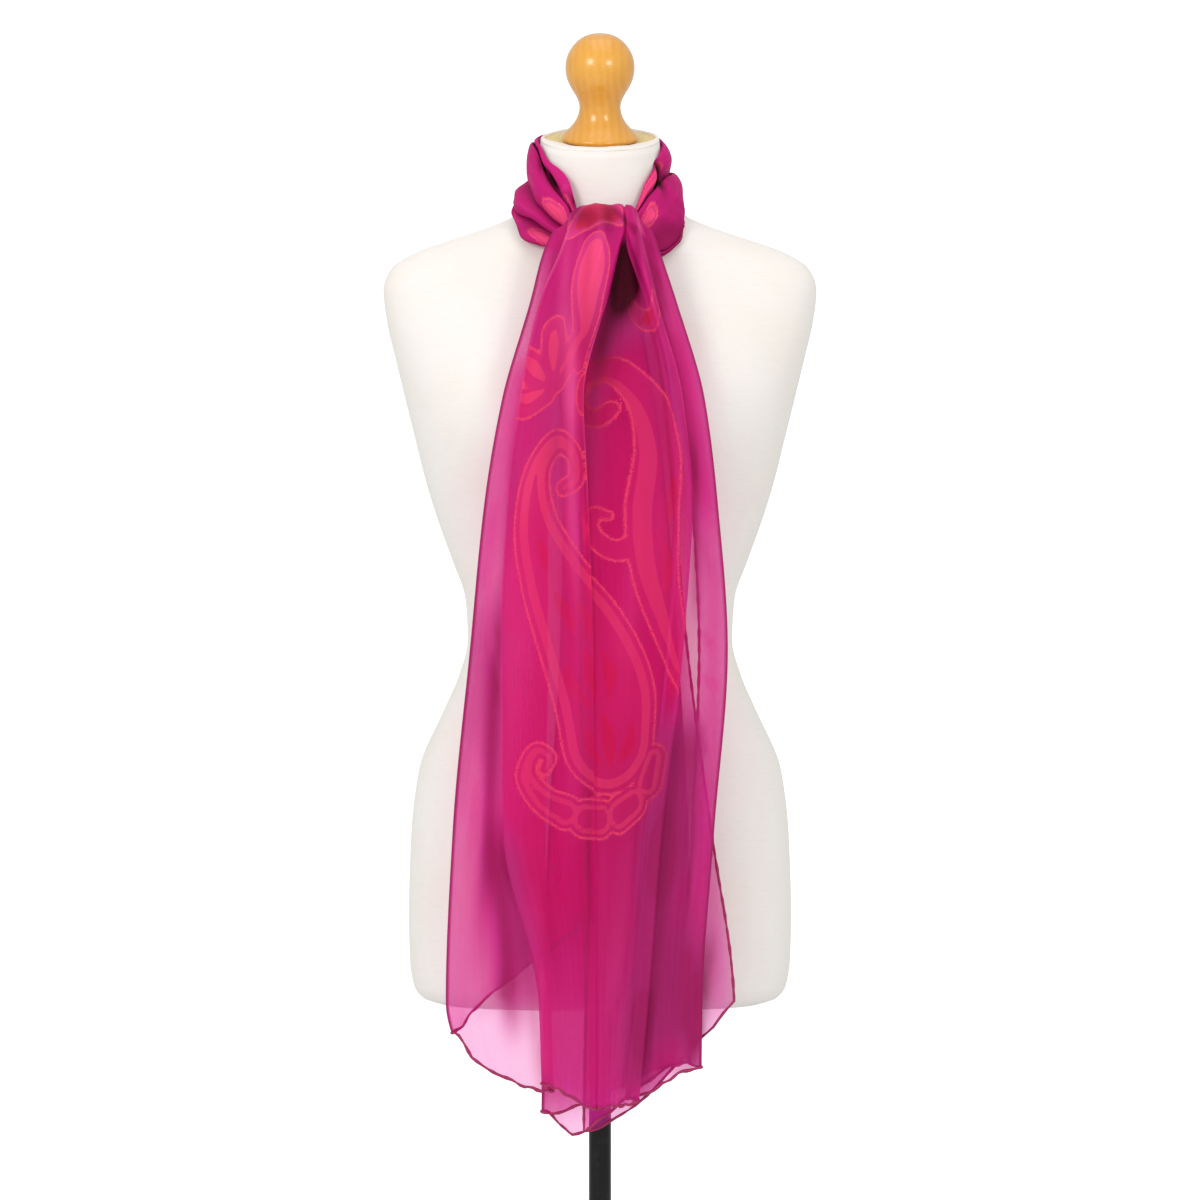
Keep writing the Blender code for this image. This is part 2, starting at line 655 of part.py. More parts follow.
def main():
    clear_scene()
    magenta = (0.55, 0.015, 0.14)
    torso()
    neck_cap()
    knob()
    pole()
    base()
    wrap("wrap_left", -WRAP_FIRST, -WRAP_SEAM + SEAM_GAP_DEG, SIDE_STEPS, SIDE_RATE, magenta)
    wrap("wrap_back", -WRAP_SEAM, -360 + WRAP_SEAM, BACK_STEPS, 1.0, magenta)
    wrap("wrap_right", WRAP_FIRST, WRAP_SEAM - SEAM_GAP_DEG, SIDE_STEPS, SIDE_RATE, magenta)
    front_fall(magenta)
    back_fall(magenta)


main()
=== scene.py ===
"""The looks of a long chiffon scarf tied at the throat of a dress form.

The scarf's stretches are sheets laid out from the same lines as the solids, with finer folds,
creases and rolled hems. Each sheet knows where it lies in the flat cloth, so the woven motifs
follow it through its folds. The form, its cap and knob and the stand are turned bodies.
"""

import math
from collections import namedtuple

import bpy
import numpy as np
from bpy.props import FloatProperty, FloatVectorProperty, PointerProperty
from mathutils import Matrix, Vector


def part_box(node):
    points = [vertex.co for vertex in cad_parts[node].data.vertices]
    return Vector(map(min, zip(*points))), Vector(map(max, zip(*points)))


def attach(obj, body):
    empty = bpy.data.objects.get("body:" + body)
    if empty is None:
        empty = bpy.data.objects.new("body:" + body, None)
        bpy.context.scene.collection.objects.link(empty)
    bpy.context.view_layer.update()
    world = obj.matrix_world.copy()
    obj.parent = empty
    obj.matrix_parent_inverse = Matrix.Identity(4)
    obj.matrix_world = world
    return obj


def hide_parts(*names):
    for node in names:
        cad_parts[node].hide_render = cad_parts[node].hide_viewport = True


bl_info = {
    "name": "Chiffon scarf on a dress form",
    "version": (1, 0, 0),
    "blender": (4, 5, 0),
    "location": "3D View > Sidebar > Scarf",
    "description": "Builds a sheer scarf with woven motifs, and the dress form that it hangs on",
    "category": "Object",
}

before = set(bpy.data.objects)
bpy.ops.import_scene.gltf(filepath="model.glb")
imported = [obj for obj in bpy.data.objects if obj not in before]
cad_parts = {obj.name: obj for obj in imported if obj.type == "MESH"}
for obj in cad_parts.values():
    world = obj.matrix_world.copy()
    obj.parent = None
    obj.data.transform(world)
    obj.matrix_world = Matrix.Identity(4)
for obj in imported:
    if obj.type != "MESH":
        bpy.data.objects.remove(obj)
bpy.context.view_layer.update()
MM = 0.001


# ================================================================ curves and tables
def table(row_type, *rows):
    return [row_type(*row) for row in rows]


def cubic(values, tangent, i, t, step=1.0):
    """The curve from value i to the next that keeps both their tangents, a share t along it."""
    return (
        values[i] * (1 + 2 * t) * (1 - t) ** 2
        + tangent[i] * step * t * (1 - t) ** 2
        + values[i + 1] * t * t * (3 - 2 * t)
        + tangent[i + 1] * step * t * t * (t - 1)
    )


def curve_through(stops, values, at):
    """A smooth curve through the values that doesn't overshoot them; the stops rise."""
    stops, values = np.asarray(stops, float), np.asarray(values, float)
    step = np.diff(stops)
    slope = np.diff(values) / step
    tangent = np.zeros_like(values)
    tangent[0], tangent[-1] = slope[0], slope[-1]
    for i in range(1, len(values) - 1):
        if slope[i - 1] * slope[i] > 0:
            before, after = 2 * step[i] + step[i - 1], step[i] + 2 * step[i - 1]
            tangent[i] = (before + after) / (before / slope[i - 1] + after / slope[i])
    at = np.clip(at, stops[0], stops[-1])
    i = np.clip(np.searchsorted(stops, at, side="right") - 1, 0, len(step) - 1)
    return cubic(values, tangent, i, (at - stops[i]) / step[i], step[i])


def spline_through(values, at):
    """A rounder curve through evenly placed values, whose tangents come from both neighbours."""
    i = np.clip(np.floor(at).astype(int), 0, len(values) - 2)
    return cubic(values, np.gradient(values), i, at - i)


def column(rows, name, key, at):
    """The value of one column of a table at places between its rows."""
    stops = [getattr(row, key) for row in rows]
    return curve_through(stops, [getattr(row, name) for row in rows], at)


def rounded(points, steps):
    """A curve that rounds the corners of a line of points, with as many steps at each."""
    points = np.asarray(points, float)
    middles = (points[:-1] + points[1:]) / 2
    t = (np.arange(1, steps + 1) / steps)[:, None]
    made = [points[:1], middles[:1]]
    for before, corner, after in zip(middles, points[1:-1], middles[1:]):
        made.append(before * (1 - t) ** 2 + 2 * corner * t * (1 - t) + after * t * t)
    made.append(points[-1:])
    return np.concatenate(made)


def smooth_step(share):
    share = np.clip(share, 0.0, 1.0)
    return share * share * (3 - 2 * share)


# ================================================================ the form's sizes
FormSection = namedtuple("FormSection", "height half_width front back power tilt")
FORM_SECTIONS = table(
    FormSection,
    (720, 142, 76, 84, 2.2, 0), (725, 158, 89, 97, 2.2, 0), (736, 167, 97, 106, 2.2, 0),
    (760, 171, 100, 110, 2.2, 0), (800, 172, 101, 112, 2.2, 0), (870, 170, 101, 112, 2.2, 0),
    (930, 163, 96, 101, 2.2, 0), (985, 140, 89, 81, 2.2, 0), (1015, 127, 86, 72, 2.2, 0),
    (1047, 119, 84, 67, 2.2, 0), (1083, 121, 86, 69, 2.2, 0), (1119, 133, 91, 76, 2.2, 0),
    (1155, 146, 97, 84, 2.3, 0), (1191, 157, 101, 92, 2.4, 0), (1227, 166, 102, 98, 2.4, 0),
    (1263, 175, 97, 102, 2.4, 0), (1300, 184, 88, 103, 2.3, 1), (1335, 192, 76, 98, 2.2, 2),
    (1362, 195, 65, 88, 2.1, 4), (1380, 189, 57, 78, 2, 6), (1394, 170, 52, 70, 1.8, 8),
    (1406, 138, 50, 65, 1.6, 9), (1418, 101, 50, 61, 1.45, 10), (1430, 75, 50, 59, 1.6, 11),
    (1446, 61, 50, 57, 1.9, 12), (1468, 56, 50, 56, 2, 14), (1496, 53.5, 51, 56, 2, 16),
)
FORM_AROUND = 96
FORM_RISE = 7.0  # from one ring of the form to the next
FORM_EDGE = (2, 5, 10, 17)  # closer rings up its rounded foot
BUST_HEIGHT = 1232.0
BUST_OUT = 88.0  # from the middle of the form to the middle of a cup
BUST_DEPTH = 20.0
BUST_SPREAD = 48.0
BUST_ABOVE = 70.0
BUST_BELOW = 50.0
BUST_FADE = 10.0  # how far ahead of the form's sides a cup has half its depth
NECK_TOP = FORM_SECTIONS[-1]
CAP_INSET = 3.0
CAP_THICK = 0.5
FIT_GAP = 0.4  # between pieces that touch
LIP_RISE = 4.6  # of the edge of the form's cover, which is turned in over the cap
LIP_WIDTHS = [(0, 8.5), (25, 10.5), (50, 14), (75, 9), (98, 3), (180, 2.6)]  # by degrees round
LIP_OVERLAP = 1.4
LIP_WAVE = 0.35
LIP_AROUND = 17

KnobPoint = namedtuple("KnobPoint", "up radius")
KNOB_PROFILE = table(
    KnobPoint,
    (0, 0), (0, 30), (0.3, 33.2), (3.5, 35), (6.5, 32.4), (11, 27.6), (16, 23.2), (21, 20.3),
    (27, 18.5), (33, 18.4), (40, 21.4), (48, 26.7), (56, 30.2), (65, 31.3), (74, 30), (82, 25.8),
    (89, 19.4), (93.5, 11), (94.2, 4), (94.2, 0),
)
KNOB_STRETCH = 1.025  # the knob's foot is sunk to the cloth, and its top stays where it is
KNOB_FORWARD = 6.0
KNOB_AROUND = 72
KNOB_ROUNDING = 4
STAND_AROUND = 96
POLE_BEVEL = 0.4
BOSS_RADIUS = 24.0
PLATE_THICK = 10.0
CORNER_CUT = 2.0
SHARP_ANGLE = 35  # degrees, above which an edge of the stand stays sharp

# ================================================================ the wrap round the neck
# Angles are degrees round the neck from the front, positive towards +X.
WrapStation = namedtuple("WrapStation", "angle top bottom stand_off fullness")
WRAP_STATIONS = table(
    WrapStation,
    (-180, 1513, 1410, 2.5, 1), (-135, 1508, 1424, 2.5, 1), (-90, 1498, 1438, 2.5, 1),
    (-72, 1491, 1424, 2.5, 1), (-54, 1475, 1403, 3, 1.05), (-38, 1466, 1396, 5, 1),
    (-26, 1454, 1391, 10, 0.85), (-19, 1430, 1389, 14, 0.72), (-14, 1413, 1388, 15.5, 0.65),
    (3, 1413, 1388, 16, 0.62), (17, 1413, 1387, 15.5, 0.66), (24, 1421, 1386, 13, 0.74),
    (33, 1436, 1386, 9, 0.9), (44, 1455, 1388, 5, 1), (59, 1470, 1401, 3, 1),
    (75, 1486, 1424, 2.5, 1), (90, 1494, 1438, 2.5, 1), (135, 1507, 1424, 2.5, 1),
    (180, 1513, 1410, 2.5, 1),
)
# The wrap is four rolls of cloth, one below the other. A row says where each starts, as a share
# of the wrap's height, and how far it bulges, at each of these angles.
ROLL_ANGLES = (-180, -90, -72, -54, -38, -26, 0, 26, 44, 59, 75, 90, 180)
WrapRoll = namedtuple("WrapRoll", "name joins overlap starts bulge")
WRAP_ROLLS = [
    WrapRoll("collar", "edge", 0, (1,) * 13,
             (6, 3.5, 3.5, 5, 6, 6, 6, 6, 6, 6, 7, 8, 6)),
    WrapRoll("upper", "over", 9,
             (0.74, 0.94, 0.95, 0.85, 0.71, 0.67, 0.78, 0.93, 0.83, 0.79, 0.64, 0.52, 0.74),
             (12, 9, 9, 11, 11.5, 11.5, 12, 14.5, 16, 16, 15, 14, 12)),
    WrapRoll("middle", "under", 9,
             (0.45, 0.46, 0.43, 0.44, 0.35, 0.33, 0.20, 0.08, 0.08, 0.08, 0.10, 0.16, 0.45),
             (12, 15.5, 16, 15, 15, 15, 13, 11, 11, 11, 11, 11, 12)),
    WrapRoll("lower", "under", 9,
             (0.22, 0.04, 0.08, 0.25, 0.19, 0.17, 0.10, 0.03, 0.03, 0.03, 0.04, 0.06, 0.22),
             (10, 11, 15.5, 16, 14, 13.5, 11, 8.5, 8.5, 8.5, 8.5, 8.5, 10)),
]
ROLL_GAP = 2.3  # between two layers where one roll covers the next
ROLL_OVER_MOST = 0.33  # the most of its own height that a roll covers of the one above
ROLL_UNDER_MOST = 0.25  # the most of the upper roll's height that a roll reaches up under it
ROLL_SWELL = 0.16  # shares of its height at which a roll swells, is fullest and eases off
ROLL_FULL = 0.50
ROLL_EASE = 0.78
ROLL_IN = 0.82  # share of its bulge that a roll still has at its lower end
COLLAR_IN = 0.50
ROLL_CLEAR = 1.3  # how far a roll stands out from the layers under it, at least
EDGE_OUT = 0.5  # how far the upper edge stands out, and the lower edge turns in
EDGE_UNDER = 2.2
NECK_HEIGHT = 1452.0  # below which the form flares out to its shoulders
FLARE = 0.85  # share of that flare that the wrap follows
WRAP_FIRST = 3.0  # degrees that are left open at the front, to each side
Dent = namedtuple("Dent", "angle up slope half_angle half_height strength")
# Dents in the wrap: each pushes the cloth in and paints shade there by its strength; the broad
# weak ones are mostly painted shade on the wrap's darker side and back.
WRAP_DENTS = table(
    Dent,
    (-46, 1458, -1.08, 9, 4.5, 1.3), (-61, 1472, -1.6, 5, 2.5, 0.8),
    (-20, 1436, -1, 5, 4.5, 1.3), (-58, 1414, -0.4, 12, 5, 0.3), (60, 1460, 2.3, 5, 9, 0.9),
    (50, 1412, 0.3, 14, 11, 0.45), (36, 1402, 0.3, 8, 8, 0.35), (56, 1432, 0.3, 18, 22, 0.2),
    (66, 1462, 1.6, 7, 12, 0.35), (150, 1470, -0.3, 22, 5, 0.5), (-140, 1446, 0.2, 24, 5, 0.5),
)
WRAP_DENT = 3.2  # depth of a dent whose strength is 1
RIDGE_LIGHT = 0.22  # how much a crease's ridge catches the light, for each millimetre
WRAP_SHADE_LEAST = -0.6
WRAP_SHADE_MOST = 1.3
WRAP_HOLLOW = 0.7  # how dark a hollow is whose shade is 1
WRAP_STEPS = 170
WRAP_ROUNDING = 5
WRAP_BUNCH = 9.0  # layers of chiffon gathered in the wrap's rolls
WRAP_ARM = 62.0  # millimetres round the neck for each radian

# ================================================================ the falls
# Where the falls hang at each height: the place from front to back of the layer behind them all,
# the gap between layers, how much they bow round the form, and the share of a line's lift.
Hang = namedtuple("Hang", "height rear gap bow lift")
HANG = table(
    Hang,
    (600, -121, 4.3, 0.3, 0), (734, -122, 4.3, 0.3, 0), (882, -124, 4.2, 0.3, 0),
    (1040, -126, 4, 0.3, 0), (1170, -127, 3.8, 0.3, 0), (1258, -125, 3.5, 0.5, 0.15),
    (1300, -115, 3.2, 1.2, 0.6), (1345, -102, 2.9, 2.2, 1), (1375, -93, 2.6, 3, 0.95),
    (1389, -88, 2.5, 3, 0.8), (1407, -84, 2.4, 3, 0.08),
)
REAR_LAYER = 7
# A fall is laid along lines that run down it. A line has a place across at each of these heights,
# the height of its hem, the layer of the cloth that follows it, and its lift off that layer.
FallHeights = namedtuple("FallHeights", "knot throat chest bust rib waist hip seat low")
FALL_HEIGHTS = FallHeights(1407, 1389, 1345, 1258, 1170, 1040, 882, 734, 640)
FallLine = namedtuple("FallLine", "name across hem layer lift")


def fall_lines(*rows):
    return [FallLine(name, FallHeights(*across), *rest) for name, across, *rest in rows]


FRONT_FALL = fall_lines(
    ("right_selvedge", (39, 43, 52, 72, 80, 86, 80, 75, 75), 684, 3, 0),
    ("right_fold", (47, 53, 67, 91, 102, 111, 99, 89, 88), 677, 2, 0),
    ("right_inner", (26, 29, 38, 56, 63, 56, 41, 29, 21), 652, 1, 0),
    ("panel_right", (36, 40, 50, 72, 80, 72, 54, 42, 33), 650, -1, 14),
    ("strand_left", (23.5, 28, 43, 61, 67, 59, 41, 29, 20), 646, 0, 0),
    ("hollow_left", (21.8, 17.5, 7.5, -25, -18, -7.5, -5.5, -4.5, -4.5), 643, -0.5, 6),
    ("tongue_right", (21, 16, 6, -14, -10, -6, -5, -4, -4), 643, -1, 12),
    ("panel_left", (-29, -35, -53, -70, -80, -86, -84, -53, -50), 664, 0, 0),
    ("left_inner", (-12, -15, -30, -42, -45, -45, -47, -42, -40), 658, 1, 0),
    ("left_round", (-36, -41, -48, -73, -88, -99, -112, -118, -100), 686, 1, 0),
    ("left_fold", (-42, -50, -61, -85, -100, -113, -128, -134, -98), 708, 2, 0),
    ("left_return", (-31, -36, -44, -66, -78, -87, -100, -105, -105), 732, 2, 0),
    ("left_selvedge", (-3, -7, -9, -13, -17, -17, -13, -9, -9), 806, 2, 0),
)
BACK_FALL = fall_lines(
    ("inner_selvedge", (0, 0, -2, -7, -9, -5, -9, -12, -14), 621, 4, 0),
    ("right_fold", (26, 28, 33, 47, 58, 68, 77, 80, 79), 680, 5, 0),
    ("left_fold", (-20, -21, -23, -28, -32, -35, -45, -50, -51), 637, 6, 0),
    ("low_point", (2, 2, 1, -1, -4, -9, -16, -22, -24), 618, 6, 0),
    ("outer_turn", (28, 32, 37, 47, 54, 64, 80, 98, 101), 712, 6, 0),
    ("outer_selvedge", (34, 38, 44, 56, 64, 76, 97, 117, 119), 734, 6, 0),
)
BACK_TOP = FALL_HEIGHTS.knot - 6
# Folds whose edges catch the light, and the height below which they no longer do.
BRIGHT_FOLDS = {
    "panel_right": 1110, "tongue_right": 1110, "hollow_left": 1110,
    "panel_left": 890, "left_inner": 950,
}
BRIGHT_FADE = 110.0
DARK_FOLDS = {"left_fold": 1.8, "right_fold": 1.5}  # outer folds whose edges are a stronger dark line: painted shade, and denser cloth seen edge-on
FOLD_ROUND = 3.5  # how far from its edge a fold starts to turn
FOLD_ROOM = 0.42  # and the largest share of the way to the nearest line that it takes
FOLD_STEPS = 6
CELL = 3.2  # from one thread of the mesh to the next, across the cloth
CELLS_LEAST = 3
FRONT_ROWS = 190
BACK_ROWS = 160
ROW_RATE = 1.12  # above 1, so the rows are closer at the top
# How many layers' worth of threads the cloth has where it is gathered, slanted or bunched up to
# the knot.
GATHER_MOST = 2.6
SLANT_MOST = 2.2
SLANT_RATE = 3.0
KNOT_BUNCH = 5.0
REAR_BUNCH = 0.35  # share of that in the layers behind
BUNCH_FROM = 1290.0
BUNCH_TO = 1400.0
THINNEST = 0.8
CLOTH_LEAST = 0.4
ACROSS_LEAST = 0.3
# The back fall's top leans back to the neck wrap.
TUCK = 13.4
TUCK_FROM = 1378.0
TUCK_RISE = 22.0
# The hem's edge waves from front to back, and dips up and down. The waves are of uneven length:
# where each is shifts to and fro by its swing.
HEM_RIPPLE = 1.1
HEM_WAVE = 23.0
HEM_SWING = 1.7
HEM_SWING_WAVE = 31.0
HEM_REACH = 22.0  # the height over which the waves fade out
HEM_DIP = 0.9
HEM_DIP_WAVE = 2.9
HEM_DIP_SWING = 2.0
HEM_DIP_SWING_WAVE = 11.0
HEM_WOBBLE = 0.28  # of the rolled hem itself
HEM_STEP_LEAST = 0.2
COLUMN_STEP_LEAST = 0.5

# The front fall's crest, where it comes up behind the crossing and rolls over it.
CREST_MIDDLE_X = 3.5
CREST_MIDDLE_Y = -77.5
CREST_UP = 25.5
CREST_BACK = 23.0
CREST_PAST = 58.0  # degrees that its middle goes on past the top
CREST_PAST_LEAST = 0.06  # share of that at its sides
CREST_HALF = 45.0
CREST_NARROW = 0.06  # how much narrower it is at its top
CREST_SINK = 0.5  # how much less an inner layer rises for each millimetre that it lies behind
CREST_NEST = 0.4  # and how much less far back it reaches
CREST_ROWS = 26
# How much of its rise the cloth has over the crossing, by its place across.
CREST_SHARES = [
    (-42, 0.12), (-35, 0.30), (-26, 0.78), (-18, 0.94), (4, 1.0), (28, 0.97), (35, 0.72),
    (43, 0.30), (48, 0.12),
]

SoftFold = namedtuple("SoftFold", "top_x low_x depth width from_height to_height")
SOFT_FOLDS = table(
    SoftFold,
    (-22, -42, 5, 19, 1380, 640), (26, 14, 4.5, 18, 1290, 700), (58, 44, 4, 18, 1280, 900),
    (-58, -108, 3.5, 20, 1240, 720), (86, 96, 3, 20, 1180, 880), (92, 42, 4, 18, 900, 650),
)
SOFT_FOLD_START = 0.25

# Finer creases of the falls: each runs from one place to another, in millimetres across and
# up, and stands forward by depth, or back where that is negative.
Crease = namedtuple("Crease", "from_x from_up to_x to_up depth width")
CREASE_FADE = 0.3  # share of its length over which a crease fades in and out
FALL_CREASES = table(
    Crease,
    (-24, 1436, -44, 1215, 1.7, 5), (-15, 1440, -27, 1160, 1.4, 4),
    (-6, 1440, -17, 1300, -1.3, 4), (4, 1438, -8, 1285, 1.2, 4), (12, 1436, 3, 1340, -1, 3.5),
    (4, 1436, 40, 1397, -2.2, 3), (11, 1437, 46, 1393, 1.8, 3), (17, 1434, 48, 1382, -2, 3),
    (24, 1432, 53, 1370, 1.7, 3), (33, 1430, 57, 1350, -1.4, 3), (-30, 1436, -10, 1416, -1.2, 4),
    (-8, 1440, 4, 1414, 1.2, 4), (32, 1418, 50, 1310, 1.6, 2.6), (26, 1412, 41, 1300, -1.3, 2.6),
    (38, 1412, 60, 1290, -1.3, 3), (-27, 1390, -24, 1030, 2.4, 6.5),
    (-15, 1330, -14, 1000, -1.4, 2.6), (-37, 1330, -36, 1060, -1.2, 2.6),
    (-60, 1230, -88, 1010, 1.8, 9), (-100, 1120, -122, 860, -2, 9),
    (-112, 980, -90, 730, 2.2, 10), (-78, 905, -60, 700, -2, 9), (-52, 790, -48, 650, 1.6, 5),
    (33, 1200, 20, 960, 1.5, 8), (-20, 1120, -26, 840, 1.4, 9), (36, 930, 6, 690, 1.5, 8),
    (66, 900, 50, 690, -1.8, 8), (84, 1062, 99, 1038, 1.5, 3.5), (87, 1020, 104, 1003, 1.4, 3.5),
    (82, 985, 95, 940, -1.3, 5), (88, 1150, 100, 1090, -1.2, 6), (-96, 1060, -84, 1005, 1.3, 5),
    (-70, 760, -112, 715, -1.2, 7), (10, 1090, 24, 1020, 0.8, 7), (-2, 905, 16, 880, -0.9, 9),
)
# Where cloth is bunched lengthwise: depth says how many layers' worth of threads it adds.
FRONT_GATHERS = table(
    Crease,
    (-45, 1420, -70, 1268, -1.6, 8), (-48, 1370, -66, 1120, 1.5, 13),
    (58, 1350, 98, 1120, 2.4, 12), (-92, 1110, -97, 760, 2.2, 8), (-92, 930, -72, 690, 2, 11),
    (-60, 860, -49, 640, 1, 7), (99, 1150, 98, 890, 0.6, 6), (98, 960, 72, 690, 1.4, 7),
    (-88, 1180, -104, 1080, 0.7, 7), (60, 900, 40, 660, 0.9, 6), (88, 740, 60, 640, 0.9, 6),
)
BACK_GATHERS = [Crease(90, 930, 104, 690, 1.5, 11)]
# The back fall is gathered too, but for its lowest tip and its outer side.
BACK_BUNCH = 1.6
BACK_BUNCH_FROM = 622.0
BACK_BUNCH_TO = 668.0
BACK_BUNCH_SIDE = 76.0
BACK_BUNCH_FADE = 16.0
# Where the falls lie in a shaded valley, or on a lit ridge where depth is negative.
FALL_SHADES = table(
    Crease,
    (-70, 1265, -92, 980, 0.6, 5), (-86, 1120, -105, 740, 0.95, 8), (-95, 910, -74, 680, 1, 10),
    (-70, 820, -50, 680, 0.3, 10), (10, 1431, 36, 1401, 0.8, 2.6),
    (20, 1430, 46, 1390, 0.75, 2.6), (16, 1434, 45, 1394, -0.6, 2.2),
    (29, 1428, 55, 1360, -0.6, 2.2), (40, 1412, 64, 1318, 0.7, 2.6),
    (46, 1404, 70, 1300, -0.5, 2.4), (72, 1010, 46, 810, 0.8, 18), (56, 930, 30, 640, 0.8, 16),
    (84, 850, 56, 670, 0.6, 9), (99, 810, 78, 670, 0.8, 9), (83, 1000, 77, 820, 0.6, 9),
    (35, 1418, 58, 1301, 0.6, 4), (52, 1327, 86, 1170, 0.6, 5), (82, 1255, 83, 1030, 0.75, 5),
    (-44, 1335, -38, 1161, 0.35, 8), (-35, 1126, -28, 996, 0.45, 6),
    (-24, 1344, -29, 1222, -0.35, 7), (-28, 1240, -12, 1022, -0.35, 6),
    (52, 1187, 56, 1066, -0.3, 9), (80, 800, 74, 690, 0.6, 9), (36, 760, 30, 640, 0.55, 12),
    (86, 770, 78, 650, 0.55, 9),
)
# Shaded hollows, each in the cloth that leads to a line.
Hollow = namedtuple("Hollow", "line across up half_width half_height strength")
HOLLOWS = table(
    Hollow,
    ("hollow_left", 24, 1374, 12, 22, 2.4), ("hollow_left", 18, 1344, 18, 34, 0.9),
    ("hollow_left", 2, 1301, 14, 36, 0.75), ("hollow_left", -7, 1248, 11, 46, 0.6),
    ("hollow_left", -5, 1190, 9, 30, 0.35), ("panel_left", -14, 1420, 17, 11, 0.55),
    ("panel_left", 8, 1421, 7, 16, 0.5), ("strand_left", 33, 1385, 4, 40, 0.45),
    ("left_round", -44, 1395, 5, 34, 0.4),
)
# Creases of the wrap, from one angle and height to another.
WrapCrease = namedtuple("WrapCrease", "from_angle from_up to_angle to_up depth width")
WRAP_CREASES = table(
    WrapCrease,
    (-35, 1444, -25, 1452, 1.8, 2), (-28, 1435, -19, 1442, 1.8, 1.8),
    (-84, 1450, -44, 1420, 0.9, 3), (-88, 1478, -52, 1444, 0.7, 4),
    (68, 1486, 54, 1447, -2.6, 2.4), (31, 1418, 51, 1427, 1.7, 2.2),
    (46, 1427, 64, 1420, 1.3, 2.4), (64, 1461, 62, 1443, 1.8, 2.4),
    (61, 1447, 77, 1433, 1.8, 2.4), (66, 1434, 71, 1410, 1.2, 2.2), (40, 1452, 56, 1476, 0.8, 2),
    (100, 1480, 150, 1492, -1.3, 4), (112, 1452, 168, 1462, 1.4, 4.5),
    (96, 1440, 140, 1432, -1.2, 4), (-104, 1478, -150, 1494, 1.3, 4),
    (-98, 1452, -158, 1456, -1.4, 4.5), (-118, 1436, -166, 1426, 1.2, 4),
    (128, 1500, 176, 1504, 0.9, 3),
)

# ================================================================ the motifs
# A motif is made of brush strokes. Each is a smooth line through the listed dabs of (across,
# up, half-width), in millimetres of flat cloth from the middle of the front panel and from the
# floor. Bodies are woven denser and have a cut-thread outline; bands are lighter inside them,
# and leaves are red.
BODY_STROKES = [
    # the teardrop that stands on its round end, and its curling tail
    [(20, 962, 47), (14, 1002, 48), (-6, 1052, 42), (-32, 1104, 31),
     (-50, 1152, 21), (-50, 1196, 14), (-30, 1220, 11), (-10, 1210, 9),
     (-8, 1188, 8), (-22, 1180, 7)],
    # the lobes and the curl round its foot
    [(70, 948, 12), (66, 926, 15)],
    [(52, 908, 16), (36, 898, 17)],
    [(14, 893, 17), (-6, 894, 17)],
    [(-24, 900, 15), (-44, 912, 12), (-58, 934, 9), (-50, 954, 7),
     (-38, 948, 6), (-42, 938, 5)],
    # the scroll that climbs at its other side and turns in on itself
    [(92, 1010, 8), (74, 1052, 14), (58, 1104, 19), (54, 1160, 20),
     (60, 1214, 17), (54, 1258, 14), (32, 1284, 12), (10, 1276, 10),
     (4, 1254, 8), (18, 1240, 7), (30, 1250, 6)],
    [(56, 1140, 10), (28, 1126, 9), (10, 1140, 7), (12, 1158, 5), (22, 1156, 4)],
    # the fan of five petals
    [(-44, 1264, 11), (-70, 1258, 14), (-86, 1262, 11)],
    [(-44, 1272, 12), (-66, 1286, 15), (-82, 1298, 12)],
    [(-38, 1276, 12), (-46, 1302, 15), (-54, 1322, 13)],
    [(-32, 1274, 11), (-20, 1300, 14), (-16, 1320, 11)],
    # the stem that rises from the fan to the throat
    [(-6, 1286, 6), (-14, 1316, 12), (-22, 1350, 18), (-28, 1384, 22),
     (-36, 1408, 15)],
    # the leaf that lies over the crossing
    [(-74, 1424, 7), (-58, 1438, 13), (-38, 1448, 18), (-18, 1446, 14),
     (-4, 1436, 7)],
    [(40, 1348, 5), (58, 1334, 10), (76, 1340, 8), (84, 1356, 5)],
]
BAND_STROKES = [
    [(84, 1022, 2), (66, 1064, 5), (50, 1110, 7), (46, 1160, 7), (52, 1212, 6),
     (46, 1252, 5), (28, 1274, 4), (12, 1268, 3)],
    [(-50, 1266, 2), (-68, 1262, 5), (-80, 1264, 3)],
    [(-50, 1276, 2), (-66, 1288, 6), (-78, 1297, 4)],
    [(-40, 1284, 2), (-47, 1304, 6), (-52, 1318, 4)],
    [(-30, 1282, 2), (-21, 1302, 5), (-18, 1316, 3)],
    [(-14, 1318, 4), (-22, 1350, 11), (-28, 1382, 16), (-34, 1404, 10)],
]
LEAF_STROKES = [
    [(24, 938, 1), (22, 960, 7), (14, 988, 1)],
    [(32, 942, 1), (42, 958, 6), (44, 980, 1)],
    [(14, 940, 1), (0, 954, 6), (-6, 974, 1)],
    [(10, 996, 1), (0, 1016, 7), (-8, 1042, 1)],
    [(20, 998, 1), (22, 1018, 6), (14, 1040, 1)],
    [(2, 988, 1), (-16, 1006, 6), (-24, 1028, 1)],
    [(-14, 1052, 1), (-22, 1072, 6), (-34, 1094, 1)],
    [(-2, 1048, 1), (-4, 1066, 5), (-14, 1084, 1)],
    [(-40, 1112, 2), (-43, 1124, 5), (-47, 1136, 2)],
    [(64, 1092, 1), (66, 1112, 5), (62, 1134, 1)],
    [(64, 1150, 1), (67, 1172, 5), (70, 1194, 1)],
    [(-64, 1432, 5), (-52, 1440, 11), (-38, 1447, 14), (-22, 1445, 11),
     (-10, 1438, 5)],
    [(56, 1332, 2), (64, 1336, 5), (72, 1343, 2)],
]
OUTER_RING = 9.0  # millimetres in from the teardrop's edge to its ring's middle
RING_HALF = 4.0
LOBE_RING = 6.5
LOBE_RING_HALF = 2.4
STROKE_STEPS = 14
PANEL_MIDDLE = -6.0  # where the front panel's middle lies, across, at the waist
